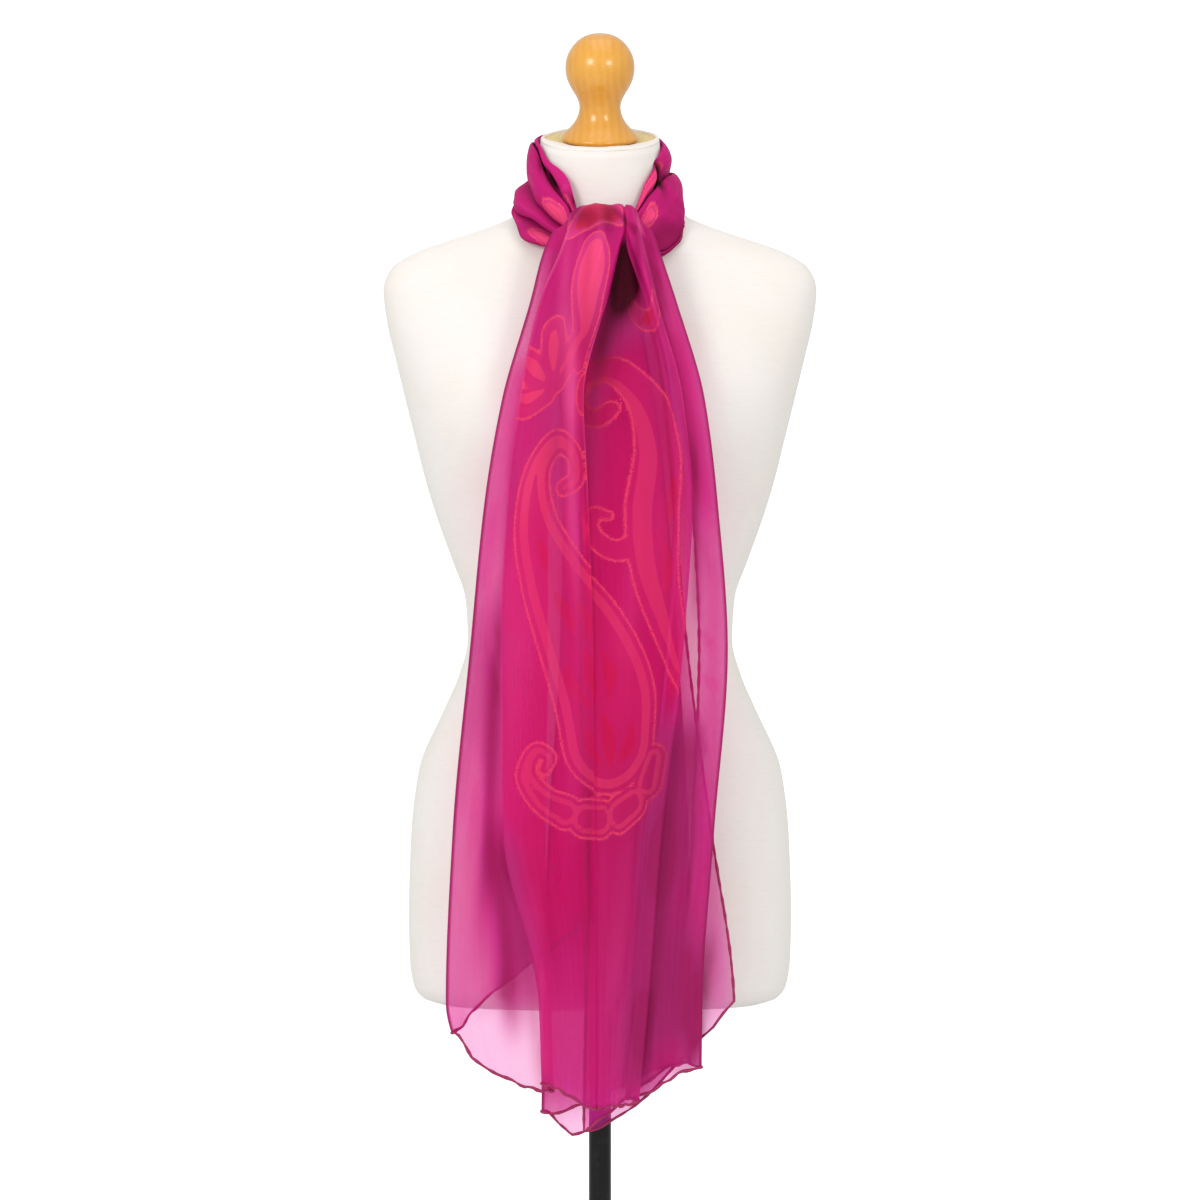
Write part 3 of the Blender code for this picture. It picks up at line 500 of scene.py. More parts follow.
PANEL_FRONT = 8.0  # how much more being in front counts than being near that middle
NO_MOTIF = 50.0  # a distance from any motif at which nothing of it shows
# The same for the wrap, in millimetres round the neck and down from the cloth's upper edge.
WRAP_BODY_STROKES = [
    [(-47, 61, 5), (-38, 58, 8), (-30, 56, 9), (-22, 54, 9)],
    [(-54, 123, 4), (-45, 121, 7), (-34, 114, 6)],
    [(-31, 22, 3), (-25, 18, 3.5), (-20, 13, 3)],
    [(36, 7, 4), (46, 8, 5.5), (58, 9, 5.5), (68, 7, 4)],
    [(35, 41, 4), (40, 44, 6.5), (44, 51, 4.5)],
    [(-88, 58, 6), (-104, 52, 10), (-122, 60, 5)],
    [(84, 120, 6), (112, 108, 13), (146, 96, 11), (172, 104, 6)],
    [(-130, 28, 5), (-152, 38, 11), (-176, 30, 9), (-192, 20, 5)],
    [(128, 52, 4), (150, 44, 9), (178, 54, 9), (192, 66, 4)],
    [(-136, 104, 5), (-158, 96, 10), (-184, 108, 9)],
]
WRAP_BAND_IN = 2.6  # from a body's edge to its band
WRAP_LEAF_IN = 9.0  # and to its leaf


def brush(points, strokes):
    """The distance in millimetres from points of flat cloth to the edge of a set of strokes,
    negative inside."""
    nearest = np.full(len(points), 1e3)
    for dabs in strokes:
        at = np.linspace(0, len(dabs) - 1, STROKE_STEPS * (len(dabs) - 1) + 1)
        line = [spline_through(np.array(values, float), at) for values in zip(*dabs)]
        for across, up, half_width in zip(*line):
            away = np.hypot(points[:, 0] - across, points[:, 1] - up) - half_width
            nearest = np.minimum(nearest, away)
    return nearest


# ================================================================ settings
def colour_setting(name, description, default):
    return FloatVectorProperty(
        name=name, description=description, subtype="COLOR", size=3, min=0, max=1,
        default=default,
    )


def length_setting(name, description, least, most, default):
    return FloatProperty(
        name=name, description=description, unit="LENGTH", subtype="DISTANCE",
        min=least, max=most, default=default,
    )


class FormSettings(bpy.types.PropertyGroup):
    jersey: colour_setting("Jersey", "Colour of the form's cover", (0.90, 0.86, 0.815))
    cap: colour_setting("Cap", "Colour of the cap on the neck", (0.70, 0.57, 0.27))
    wood: colour_setting("Wood", "Colour of the knob's varnished wood", (0.80, 0.37, 0.04))
    metal: colour_setting("Stand", "Colour of the pole and the base", (0.006, 0.0055, 0.005))


class ScarfSettings(bpy.types.PropertyGroup):
    dye: colour_setting("Dye", "Colour of the chiffon's threads", (0.70, 0.06, 0.35))
    motif: colour_setting("Motif", "Colour inside a motif", (0.76, 0.042, 0.24))
    band: colour_setting("Bands", "Colour of the light bands in a motif", (0.96, 0.072, 0.215))
    leaf: colour_setting("Leaves", "Colour of the red leaves in a motif", (0.74, 0.024, 0.095))
    outline: colour_setting("Outline", "Colour of a motif's cut threads", (0.95, 0.08, 0.16))
    # The hem colour is also the colour that the chiffon's painted shade darkens towards.
    hem_and_shade_colour: colour_setting("Hem", "Colour of the rolled hem", (0.32, 0.008, 0.08))
    cover: FloatProperty(
        name="Cover", description="Share of a single layer that its threads cover",
        subtype="FACTOR", min=0, max=1, default=0.36,
    )
    hem: length_setting("Hem width", "Thickness of the rolled hem", 0.0005, 0.004, 0.0026)


class StageSettings(bpy.types.PropertyGroup):
    distance: length_setting("Camera distance", "From the form's axis to the camera", 1, 20, 4.0)
    eye: length_setting("Camera height", "Height of the camera over the floor", 0, 3, 1.083)
    lens: FloatProperty(
        name="Lens", description="Focal length in millimetres on a 36 mm sensor",
        min=10, max=400, default=133.33,
    )
    brightness: FloatProperty(
        name="Brightness", description="Strength of the studio lights", min=0, max=5, default=1.0,
    )


# ================================================================ making meshes
def deselect():
    bpy.ops.object.select_all(action="DESELECT")


def grid_object(name, points):
    """A grid primitive whose points are moved to rows of (x, y, z) millimetres."""
    rows, columns = points.shape[:2]
    deselect()
    bpy.ops.mesh.primitive_grid_add(x_subdivisions=columns - 1, y_subdivisions=rows - 1, size=1)
    obj = bpy.context.object
    obj.name = obj.data.name = name
    if len(obj.data.vertices) != rows * columns:
        raise RuntimeError(f"{name}: the grid has {len(obj.data.vertices)} points")
    obj.data.vertices.foreach_set("co", (points * MM).astype(np.float32).ravel())
    obj.data.update()
    bpy.ops.object.shade_smooth()
    return obj


def body_object(name, rings):
    """A closed body through rings of points, from the lowest up."""
    rings = np.asarray(rings, float)
    obj = grid_object(name, np.concatenate([rings, rings[:, :1]], axis=1))
    bpy.ops.object.mode_set(mode="EDIT")
    bpy.ops.mesh.select_all(action="SELECT")
    bpy.ops.mesh.remove_doubles(threshold=0.00002)
    bpy.ops.mesh.fill_holes(sides=0)
    bpy.ops.mesh.select_all(action="SELECT")
    bpy.ops.mesh.normals_make_consistent(inside=False)
    bpy.ops.object.mode_set(mode="OBJECT")
    bpy.ops.object.shade_smooth()
    return obj


def round_rings(profile, around):
    """Rings of a turned body from its profile of (radius, height), from the bottom up."""
    angle = np.linspace(0, 2 * math.pi, around, endpoint=False)
    circle = np.stack([np.cos(angle), np.sin(angle)], axis=1)
    return [np.column_stack([radius * circle, np.full(around, up)]) for radius, up in profile]


def tube_object(name, path, half_width):
    """A tube along a path of (x, y, z) millimetres, with its half-width at each point."""
    deselect()
    curve = bpy.data.curves.new(name, "CURVE")
    curve.dimensions = "3D"
    curve.bevel_depth = MM
    curve.bevel_resolution = 1
    curve.use_fill_caps = True
    spline = curve.splines.new("POLY")
    spline.points.add(len(path) - 1)
    place = np.column_stack([np.asarray(path) * MM, np.ones(len(path))])
    spline.points.foreach_set("co", place.astype(np.float32).ravel())
    spline.points.foreach_set("radius", np.asarray(half_width, np.float32))
    obj = bpy.data.objects.new(name, curve)
    bpy.context.scene.collection.objects.link(obj)
    bpy.context.view_layer.objects.active = obj
    obj.select_set(True)
    bpy.ops.object.convert(target="MESH")
    obj = bpy.context.object
    obj.data.name = name
    bpy.ops.object.shade_smooth()
    return obj


def keep_values(obj, **values):
    """Stores numbers on an object's points for its material to read."""
    for name, numbers in values.items():
        made = obj.data.attributes.new(name, "FLOAT", "POINT")
        made.data.foreach_set("value", np.asarray(numbers, np.float32).ravel())


def keep_flat_place(obj, across, along):
    """Gives a sheet a UV map that says where each point lies in the flat cloth, in metres."""
    while obj.data.uv_layers:
        obj.data.uv_layers.remove(obj.data.uv_layers[0])
    layer = obj.data.uv_layers.new(name="cloth")
    corner = np.zeros(len(obj.data.loops), np.int32)
    obj.data.loops.foreach_get("vertex_index", corner)
    place = np.column_stack([across.ravel(), along.ravel()]) * MM
    layer.data.foreach_set("uv", place[corner].astype(np.float32).ravel())


def dress(obj, material, slot, *nodes):
    """Gives a piece its finish, hangs it under the root body, and hides the solids that it stands
    for.
    """
    obj.data.materials.clear()
    obj.data.materials.append(material)
    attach(obj, "root")
    if nodes:
        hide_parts(*nodes)


# ================================================================ shader maths
class Value:
    """A socket of a material's nodes, with the arithmetic that its maths needs."""

    def __init__(self, finish, socket):
        self.finish, self.socket = finish, socket

    def maths(self, operation, *others):
        node = self.finish.node("ShaderNodeMath", {"operation": operation}, [self, *others])
        return Value(self.finish, node.outputs[0])

    def __add__(self, other):
        return self.maths("ADD", other)

    def __sub__(self, other):
        return self.maths("SUBTRACT", other)

    def __rsub__(self, other):
        node = self.finish.node("ShaderNodeMath", {"operation": "SUBTRACT"}, [other, self])
        return Value(self.finish, node.outputs[0])

    def __mul__(self, other):
        return self.maths("MULTIPLY", other)

    __radd__ = __add__
    __rmul__ = __mul__

    def absolute(self):
        return self.maths("ABSOLUTE")

    def most(self, other):
        return self.maths("MAXIMUM", other)

    def between(self, low, high):
        """0 below low, 1 above high and smooth between them; low may be the larger."""
        node = self.finish.node(
            "ShaderNodeMapRange", {"interpolation_type": "SMOOTHSTEP"},
            {"Value": self, "From Min": low, "From Max": high},
        )
        return Value(self.finish, node.outputs["Result"])


class Finish:
    """A material and the nodes that it is made of."""

    def __init__(self, name):
        self.material = bpy.data.materials.new(name)
        self.material.use_nodes = True
        self.tree = self.material.node_tree
        self.tree.nodes.clear()

    def fill(self, socket, value):
        """Links a socket, or sets it."""
        value = value.socket if isinstance(value, Value) else value
        if isinstance(value, bpy.types.NodeSocket):
            self.tree.links.new(value, socket)
        else:
            socket.default_value = (*value, 1.0) if socket.type == "RGBA" else value

    def node(self, kind, settings=None, values=None):
        """Adds a node, sets it, and then fills or links its sockets."""
        node = self.tree.nodes.new(kind)
        for name, setting in (settings or {}).items():
            setattr(node, name, setting)
        pairs = values.items() if isinstance(values, dict) else enumerate(values or [])
        for key, value in pairs:
            self.fill(node.inputs[key], value)
        return node

    def stored(self, name):
        """A value that the piece's points hold."""
        node = self.node("ShaderNodeAttribute", {"attribute_name": name})
        return Value(self, node.outputs["Fac"])

    def place(self, scale=(1, 1, 1), kind="Object"):
        """Where a point of the surface is, stretched for a pattern."""
        if kind == "cloth":
            source = self.node("ShaderNodeUVMap", {"uv_map": "cloth"}).outputs[0]
        else:
            source = self.node("ShaderNodeTexCoord").outputs[kind]
        return self.node("ShaderNodeMapping", None, {"Vector": source, "Scale": scale}).outputs[0]

    def noise(self, place, scale, detail=2.0, flat=False):
        node = self.node(
            "ShaderNodeTexNoise", {"noise_dimensions": "2D" if flat else "3D"},
            {"Vector": place, "Scale": scale, "Detail": detail},
        )
        return Value(self, node.outputs[0])

    def wave(self, place, scale, distortion=0.0, direction="X"):
        node = self.node(
            "ShaderNodeTexWave", {"bands_direction": direction},
            {"Vector": place, "Scale": scale, "Distortion": distortion},
        )
        return Value(self, node.outputs[1])

    def mix(self, share, first, second):
        """One colour turned into another by a share."""
        inputs = {0: share, 6: first, 7: second}  # the factor and the colours, of its many sockets
        return self.node("ShaderNodeMix", {"data_type": "RGBA"}, inputs).outputs[2]

    def bump(self, height, strength, distance):
        values = {"Height": height, "Strength": strength, "Distance": distance}
        return self.node("ShaderNodeBump", None, values).outputs[0]

    def principled(self, **values):
        names = {name: name.replace("_", " ").title() for name in values}
        fixed = {"Coat Ior": "Coat IOR", "Specular Ior Level": "Specular IOR Level"}
        inputs = {fixed.get(names[key], names[key]): value for key, value in values.items()}
        return self.node("ShaderNodeBsdfPrincipled", None, inputs).outputs[0]

    def shader_mix(self, share, first, second):
        return self.node("ShaderNodeMixShader", None, [share, first, second]).outputs[0]

    def shown(self, shader):
        self.node("ShaderNodeOutputMaterial", None, {"Surface": shader})
        return self.material


# ================================================================ finishes
SHEER_TINT = (1.0, 0.69, 0.88)  # what a layer lets through between its threads
GLOW_TINT = (1.0, 0.045, 0.55)  # and what its threads let through
GLOW = 1.0
DEEP_SHARES = (0.87, 0.23, 0.54)  # how much darker many layers together are than the dye
HOLLOW_SHADE_COLOUR = (0.022, 0.0003, 0.001)  # painted shade, a deep near-black, for the hollows between the folds
BRIGHT_FOLD = (0.92, 0.12, 0.34)  # where a fold's edge catches the light


def chiffon(settings):
    """Sheer dyed chiffon, with motifs woven in, a line of cut threads round each, and painted
    shade and highlights at its folds, creases and hollows.
    """
    finish = Finish("sheer_chiffon")
    motif, band, leaf = (finish.stored(name) for name in ("motif", "band", "leaf"))
    cover, fold, hollow = (finish.stored(name) for name in ("cover", "fold", "hollow"))
    fray = finish.noise(finish.place(kind="cloth"), 900.0, 1.0, flat=True) - 0.5
    streaks = finish.noise(finish.place((260, 9, 1), kind="cloth"), 1.0, 2.0, flat=True)
    inside = (motif + fray * 2.0).between(0.4, -0.4)
    outline = (motif + fray * 5.0).absolute().between(1.35, 0.5)
    in_band = band.between(0.5, -0.5) * inside
    in_leaf = leaf.between(0.6, -0.6) * inside
    dye, shade = settings.dye, streaks.between(0.25, 0.75)
    colour = finish.mix(shade, tuple(0.94 * c for c in dye), tuple(min(1.06 * c, 1) for c in dye))
    deep = tuple(share * c for share, c in zip(DEEP_SHARES, dye))
    colour = finish.mix(cover.between(0.58, 0.97), colour, deep)
    colour = finish.mix(inside, colour, tuple(settings.motif))
    colour = finish.mix(in_band, colour, tuple(settings.band))
    colour = finish.mix(in_leaf, colour, tuple(settings.leaf))
    colour = finish.mix(outline, colour, tuple(settings.outline))
    # Painted shade: the cloth darkens towards the hem colour where its fold value is positive, at
    # fold edges, in crease and valley shade and in the wrap's slits.
    colour = finish.mix(fold.most(0.0) * 0.85, colour, tuple(settings.hem_and_shade_colour))
    # Painted highlight on lit fold edges and crease ridges, where the fold value is negative.
    colour = finish.mix((fold * -1.0).most(0.0) * 0.6, colour, BRIGHT_FOLD)
    # Painted shade, nearly black, in the shaded hollows.
    colour = finish.mix(hollow * 0.97, colour, HOLLOW_SHADE_COLOUR)
    woven = inside * 0.30 + in_band * 0.16 + in_leaf * 0.14
    # Where shade or highlight is painted, the cloth is also made denser.
    dense = woven.most(outline * 0.75).most(fold.absolute() * 0.75).most(hollow)
    share = cover + (1.0 - cover) * dense
    share = share + (streaks - 0.5) * 0.06
    cloth = finish.principled(
        base_color=colour, roughness=0.46, specular_ior_level=0.06,
        normal=finish.bump(streaks + fray * 0.25, 0.15, 0.0006),
    )
    glow = finish.node("ShaderNodeBsdfTranslucent", None, {"Color": GLOW_TINT}).outputs[0]
    clear = finish.node("ShaderNodeBsdfTransparent", None, {"Color": SHEER_TINT}).outputs[0]
    # Painted shade also dims the light that comes through the threads.
    lit = (1.0 - share).most(0.0).maths("SQRT") * (1.0 - fold.most(0.0) * 0.8)
    threads = finish.shader_mix(lit * GLOW, cloth, glow)
    return finish.shown(finish.shader_mix(share, clear, threads))


def rolled_edge(settings):
    finish = Finish("rolled_edge")
    thread = finish.wave(finish.place((1, 1, 1)), 260.0, 2.0, "DIAGONAL")
    colour = tuple(settings.hem_and_shade_colour)
    light = tuple(1.5 * c for c in colour)
    return finish.shown(finish.principled(
        base_color=finish.mix(thread * 0.6, colour, light), roughness=0.5,
        normal=finish.bump(thread, 0.4, 0.0004),
    ))


def jersey(settings):
    """Ivory knitted cover: fine ribs, faint mottling."""
    finish = Finish("ivory_jersey")
    ribs = finish.wave(finish.place((1, 1, 0.02)), 330.0, 0.6, "X")
    rows = finish.wave(finish.place((0.02, 0.02, 1)), 300.0, 0.9, "Z")
    cloudy = finish.noise(finish.place(), 14.0, 3.0)
    slubs = finish.noise(finish.place((60, 60, 700)), 1.0, 2.0)
    colour = tuple(settings.jersey)
    warm = (colour[0] * 0.985, colour[1] * 0.955, colour[2] * 0.915)
    shade = finish.mix(cloudy.between(0.35, 0.7) * 0.6, colour, warm)
    shade = finish.mix(slubs.between(0.55, 0.75) * 0.10, shade, (0.62, 0.56, 0.50))
    knit = ribs * 0.5 + rows * 0.5 + slubs * 0.8
    return finish.shown(finish.principled(
        base_color=shade, roughness=0.85, specular_ior_level=0.2,
        sheen_weight=0.15, sheen_roughness=0.5, normal=finish.bump(knit, 0.25, 0.0005),
    ))


def cap_cloth(settings):
    finish = Finish("straw_cloth")
    weave = finish.noise(finish.place(), 420.0, 2.0)
    colour = tuple(settings.cap)
    pale = tuple(min(1.25 * c, 1) for c in colour)
    return finish.shown(finish.principled(
        base_color=finish.mix(weave.between(0.3, 0.7), colour, pale), roughness=0.8,
        normal=finish.bump(weave, 0.5, 0.0008),
    ))


def varnished_wood(settings):
    """Golden wood with soft grain under a clear gloss."""
    finish = Finish("varnished_wood")
    bend = finish.noise(finish.place((9, 9, 3)), 1.0, 2.0)
    place = finish.node(
        "ShaderNodeVectorMath", {"operation": "MULTIPLY_ADD"},
        [bend.socket, (0.05, 0.05, 0.0), finish.place()],
    ).outputs[0]
    grain = finish.wave(place, 46.0, 3.0, "X")
    pores = finish.noise(finish.place((420, 420, 26)), 1.0, 2.0)
    cloudy = finish.noise(finish.place(), 22.0, 2.0)
    colour = tuple(settings.wood)
    deep = (colour[0] * 0.82, colour[1] * 0.70, colour[2] * 0.50)
    pale = (min(colour[0] * 1.06, 1), colour[1] * 1.12, colour[2] * 1.35)
    shade = finish.mix(grain * 0.35, colour, deep)
    shade = finish.mix(cloudy.between(0.4, 0.7) * 0.55, shade, pale)
    shade = finish.mix(pores.between(0.56, 0.72) * 0.30, shade, deep)
    return finish.shown(finish.principled(
        base_color=shade, roughness=finish.noise(finish.place(), 60.0, 2.0) * 0.12 + 0.26,
        coat_weight=0.5, coat_roughness=0.10,
        normal=finish.bump(pores, 0.04, 0.0004),
    ))


def black_paint(settings):
    finish = Finish("black_paint")
    dust = finish.noise(finish.place(), 90.0, 3.0)
    colour = tuple(settings.metal)
    worn = tuple(c + 0.02 for c in colour)
    return finish.shown(finish.principled(
        base_color=finish.mix(dust.between(0.5, 0.8) * 0.5, colour, worn),
        roughness=dust * 0.18 + 0.22, specular_ior_level=0.25,
        normal=finish.bump(finish.noise(finish.place(), 700.0, 2.0), 0.06, 0.0004),
    ))


# ================================================================ the form
def bust(x, y, height):
    """How far the two cups stand out in front of a section."""
    spread = BUST_ABOVE if height > BUST_HEIGHT else BUST_BELOW
    level = math.exp(-(((height - BUST_HEIGHT) / spread) ** 2))
    across = np.exp(-(((np.abs(x) - BUST_OUT) / BUST_SPREAD) ** 2))
    return BUST_DEPTH * level * across * np.clip(-y, 0, None) / (np.abs(y) + BUST_FADE)


def form_ring(height, inset=0.0, raised=0.0, share=1.0, around=FORM_AROUND):
    """One level ring of the form, anticlockwise from +X, tilted to its dip."""
    at = {name: float(column(FORM_SECTIONS, name, "height", height)) for name in
          ("half_width", "front", "back", "power", "tilt")}
    angle = np.linspace(0, 2 * math.pi, around, endpoint=False)
    c, s = np.cos(angle), np.sin(angle)
    depth = np.where(s > 0, at["back"], at["front"]) - inset
    x = (at["half_width"] - inset) * np.sign(c) * np.abs(c) ** (2 / at["power"])
    y = depth * np.sign(s) * np.abs(s) ** (2 / at["power"])
    y = (y - bust(x, y, height)) * share
    z = height + raised + math.tan(math.radians(at["tilt"])) * y
    return np.column_stack([x * share, y, z])


def form_radius(angle, heights):
    """From the neck's axis to the form, angle degrees from the front, at several heights."""
    out, ahead = abs(math.sin(math.radians(angle))), math.cos(math.radians(angle))
    side, level = "front" if ahead > 0 else "back", heights
    for _ in range(6):
        power = column(FORM_SECTIONS, "power", "height", level)
        across = (out / column(FORM_SECTIONS, "half_width", "height", level)) ** power
        depth = (abs(ahead) / column(FORM_SECTIONS, side, "height", level)) ** power
        radius = (across + depth) ** (-1 / power)
        dip = np.tan(np.radians(column(FORM_SECTIONS, "tilt", "height", level)))
        level = heights + dip * radius * ahead
    return radius


def lip_rings():
    """Rings of the cover's edge, which is turned in over the cap and is wider at its sides."""
    section = np.linspace(0, 2 * math.pi, LIP_AROUND)
    turn = np.linspace(0, 2 * math.pi, FORM_AROUND, endpoint=False)
    aside = np.degrees(np.abs(np.arctan2(np.cos(turn), -np.sin(turn))))
    width = curve_through(*zip(*LIP_WIDTHS), aside)
    inset, rise = (1 - np.cos(section)) / 2, LIP_RISE * (1 + np.sin(section)) / 2
    rings = np.array([
        form_ring(NECK_TOP.height, share * width, up - LIP_OVERLAP)
        for share, up in zip(inset, rise)
    ])
    rings[..., 2] += LIP_WAVE * (np.sin(4 * turn + 0.8) + 0.5 * np.sin(9 * turn))
    return rings


class SCARF_OT_form(bpy.types.Operator):
    """Builds the padded torso and the turned edge of its cover"""

    bl_idname = "scarf.form"
    bl_label = "Torso"

    def execute(self, context):
        low, high = FORM_SECTIONS[0].height, NECK_TOP.height
        steps = round((high - low) / FORM_RISE)
        edge = [low + up for up in FORM_EDGE]
        heights = sorted({*edge, *np.linspace(low, high, steps + 1)})
        rings = [form_ring(low, share=share) for share in (0.0, 0.5, 0.96)]
        rings += [form_ring(height) for height in heights]
        rings += [form_ring(high, share=share) for share in (0.96, 0.5, 0.0)]
        torso = body_object("torso_cover", rings)
        cover = jersey(context.scene.form)
        dress(torso, cover, "jersey", "torso")
        lip = body_object("neck_lip", lip_rings())
        dress(lip, cover, "jersey")
        return {"FINISHED"}


class SCARF_OT_cap(bpy.types.Operator):
    """Builds the cap on the neck"""

    bl_idname = "scarf.cap"
    bl_label = "Neck cap"

    def execute(self, context):
        height, inset = NECK_TOP.height, CAP_INSET
        low, high = FIT_GAP, FIT_GAP + CAP_THICK
        rings = [form_ring(height, inset, low, share) for share in (0.0, 0.5, 0.98, 1.0)]
        rings += [form_ring(height, inset, high, share) for share in (1.0, 0.98, 0.5, 0.0)]
        cap = body_object("cap_cloth", rings)
        dress(cap, cap_cloth(context.scene.form), "cap_cloth", "neck_cap")
        return {"FINISHED"}


class SCARF_OT_knob(bpy.types.Operator):
    """Turns the wooden knob and stands it on the cap"""

    bl_idname = "scarf.knob"
    bl_label = "Knob"

    def execute(self, context):
        profile = rounded([(point.radius, point.up) for point in KNOB_PROFILE], KNOB_ROUNDING)
        rings = np.array(round_rings(profile, KNOB_AROUND))
        dip = math.radians(NECK_TOP.tilt)
        ahead = KNOB_FORWARD * math.cos(dip)
        y = rings[..., 1] * math.cos(dip) - rings[..., 2] * math.sin(dip) - ahead
        z = rings[..., 1] * math.sin(dip) + rings[..., 2] * KNOB_STRETCH * math.cos(dip)
        z += NECK_TOP.height + 2 * FIT_GAP + CAP_THICK - ahead * math.tan(dip)
        knob = body_object("turned_knob", np.stack([rings[..., 0], y, z], axis=-1))
        dress(knob, varnished_wood(context.scene.form), "knob_wood", "knob")
        return {"FINISHED"}


class SCARF_OT_stand(bpy.types.Operator):
    """Turns the pole and the base"""

    bl_idname = "scarf.stand"
    bl_label = "Pole and base"

    def execute(self, context):
        paint = black_paint(context.scene.form)
        low, high = (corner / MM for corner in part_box("pole"))
        reach, edge = high.x, POLE_BEVEL
        profile = [(0, low.z), (reach - edge, low.z), (reach, low.z + edge)]
        profile += [(reach, high.z - edge), (reach - edge, high.z), (0, high.z)]
        pole = body_object("pole_tube", round_rings(profile, STAND_AROUND // 2))
        pole.data.shade_flat()
        dress(pole, paint, "stand_metal", "pole")
        low, high = (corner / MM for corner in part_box("base"))
        reach, boss, thick = high.x, BOSS_RADIUS, PLATE_THICK
        corners = [
            (0, 0), (reach - 2, 0), (reach, 1.5), (reach, thick - 3), (reach - 3, thick),
            (boss + 9, thick), (boss, thick + 8), (boss, high.z - 4), (boss - 4, high.z),
            (0, high.z),
        ]
        base = body_object("base_plate", round_rings(cut_corners(corners), STAND_AROUND))
        dress(base, paint, "stand_metal", "base")
        for obj in (pole, base):
            deselect()
            obj.select_set(True)
            bpy.context.view_layer.objects.active = obj
            bpy.ops.object.shade_smooth_by_angle(angle=math.radians(SHARP_ANGLE))
        return {"FINISHED"}


def cut_corners(corners):
    """A profile whose inner corners are cut twice, so that they catch the light."""
    corners = np.asarray(corners, float)
    made = [corners[0]]
    for before, corner, after in zip(corners, corners[1:-1], corners[2:]):
        run_before, run_after = np.hypot(*(before - corner)), np.hypot(*(after - corner))
        to_before, to_after = (before - corner) / run_before, (after - corner) / run_after
        cut = min(CORNER_CUT, 0.3 * run_before, 0.3 * run_after)
        made += [corner + to_before * cut, corner + 0.29 * cut * (to_before + to_after)]
        made.append(corner + to_after * cut)
    made.append(corners[-1])
    return made


# ================================================================ the wrap
def around(values, angle):
    """A value of a wrap roll's row at an angle."""
    return float(curve_through(ROLL_ANGLES, values, angle))


def wrap_profile(angle):
    """The wrap's section at one angle, from its upper edge down, as (out, height, shade)."""
    top = float(column(WRAP_STATIONS, "top", "angle", angle))
    bottom = float(column(WRAP_STATIONS, "bottom", "angle", angle))
    full = float(column(WRAP_STATIONS, "fullness", "angle", angle))
    levels = [bottom + (top - bottom) * around(roll.starts, angle) for roll in WRAP_ROLLS]
    levels.append(bottom)
    least = 2 * ROLL_GAP + ROLL_CLEAR
    profile = [(EDGE_OUT, top, 0.0)]
    for i, roll in enumerate(WRAP_ROLLS):
        start, end = levels[i], levels[i + 1]
        span = start - end
        bulge = max(around(roll.bulge, angle) * full, least if i else 0)
        out = profile[-1][0]
        if roll.joins == "over":
            overlap = min(roll.overlap, ROLL_OVER_MOST * span)
            profile += [(out, start - overlap, 1.0), (out + ROLL_GAP, start - overlap, 1.0),
                        (out + ROLL_GAP, start, 1.0), (out + 2 * ROLL_GAP, start, 0.1)]
            out += 2 * ROLL_GAP
            bulge = max(bulge, out + 1.0)
        if roll.joins == "under":
            overlap = min(roll.overlap, ROLL_UNDER_MOST * (levels[i - 1] - start))
            out -= ROLL_GAP
            profile += [(out, start, 1.0), (out, start + overlap, 1.0)]
            out -= ROLL_GAP
            profile += [(out, start + overlap, 1.0), (out + 0.2, start - ROLL_SWELL * span, 0.75)]
        else:
            profile.append((0.4 * out + 0.6 * bulge, start - ROLL_SWELL * span, 0.0))
        inward = ROLL_IN if i else COLLAR_IN
        covered = roll.name in ("upper", "middle")
        profile.append((bulge, start - ROLL_FULL * span, 0.05))
        profile.append((0.5 * (1 + inward) * bulge, start - ROLL_EASE * span, 0.12))
        profile.append((max(inward * bulge, least if covered else 1.0), end, 0.55))
    out, height, _ = profile[-1]
    profile.append((out - EDGE_UNDER, height - 1.0, 0.8))
    return profile


def crease_depth(across, up, creases):
    """How far a set of creases carries the cloth outwards at places across and up it."""
    total = np.zeros_like(across)
    for from_x, from_up, to_x, to_up, depth, width in creases:
        run_x, run_up = to_x - from_x, to_up - from_up
        length = math.hypot(run_x, run_up)
        share = ((across - from_x) * run_x + (up - from_up) * run_up) / length**2
        away = ((across - from_x) * run_up - (up - from_up) * run_x) / length
        shows = smooth_step(share / CREASE_FADE) * smooth_step((1 - share) / CREASE_FADE)
        total += depth * shows * np.exp(-((away / width) ** 2))
    return total


def wrap_dents(angle, heights):
    """How deep in one of the wrap's shaded dents each height is, at one angle."""
    total = np.zeros_like(heights)
    for dent in WRAP_DENTS:
        up = dent.up + dent.slope * (angle - dent.angle)
        aside = (angle - dent.angle) / dent.half_angle
        away = aside**2 + ((heights - up) / dent.half_height) ** 2
        total += dent.strength * np.exp(-away)
    return total


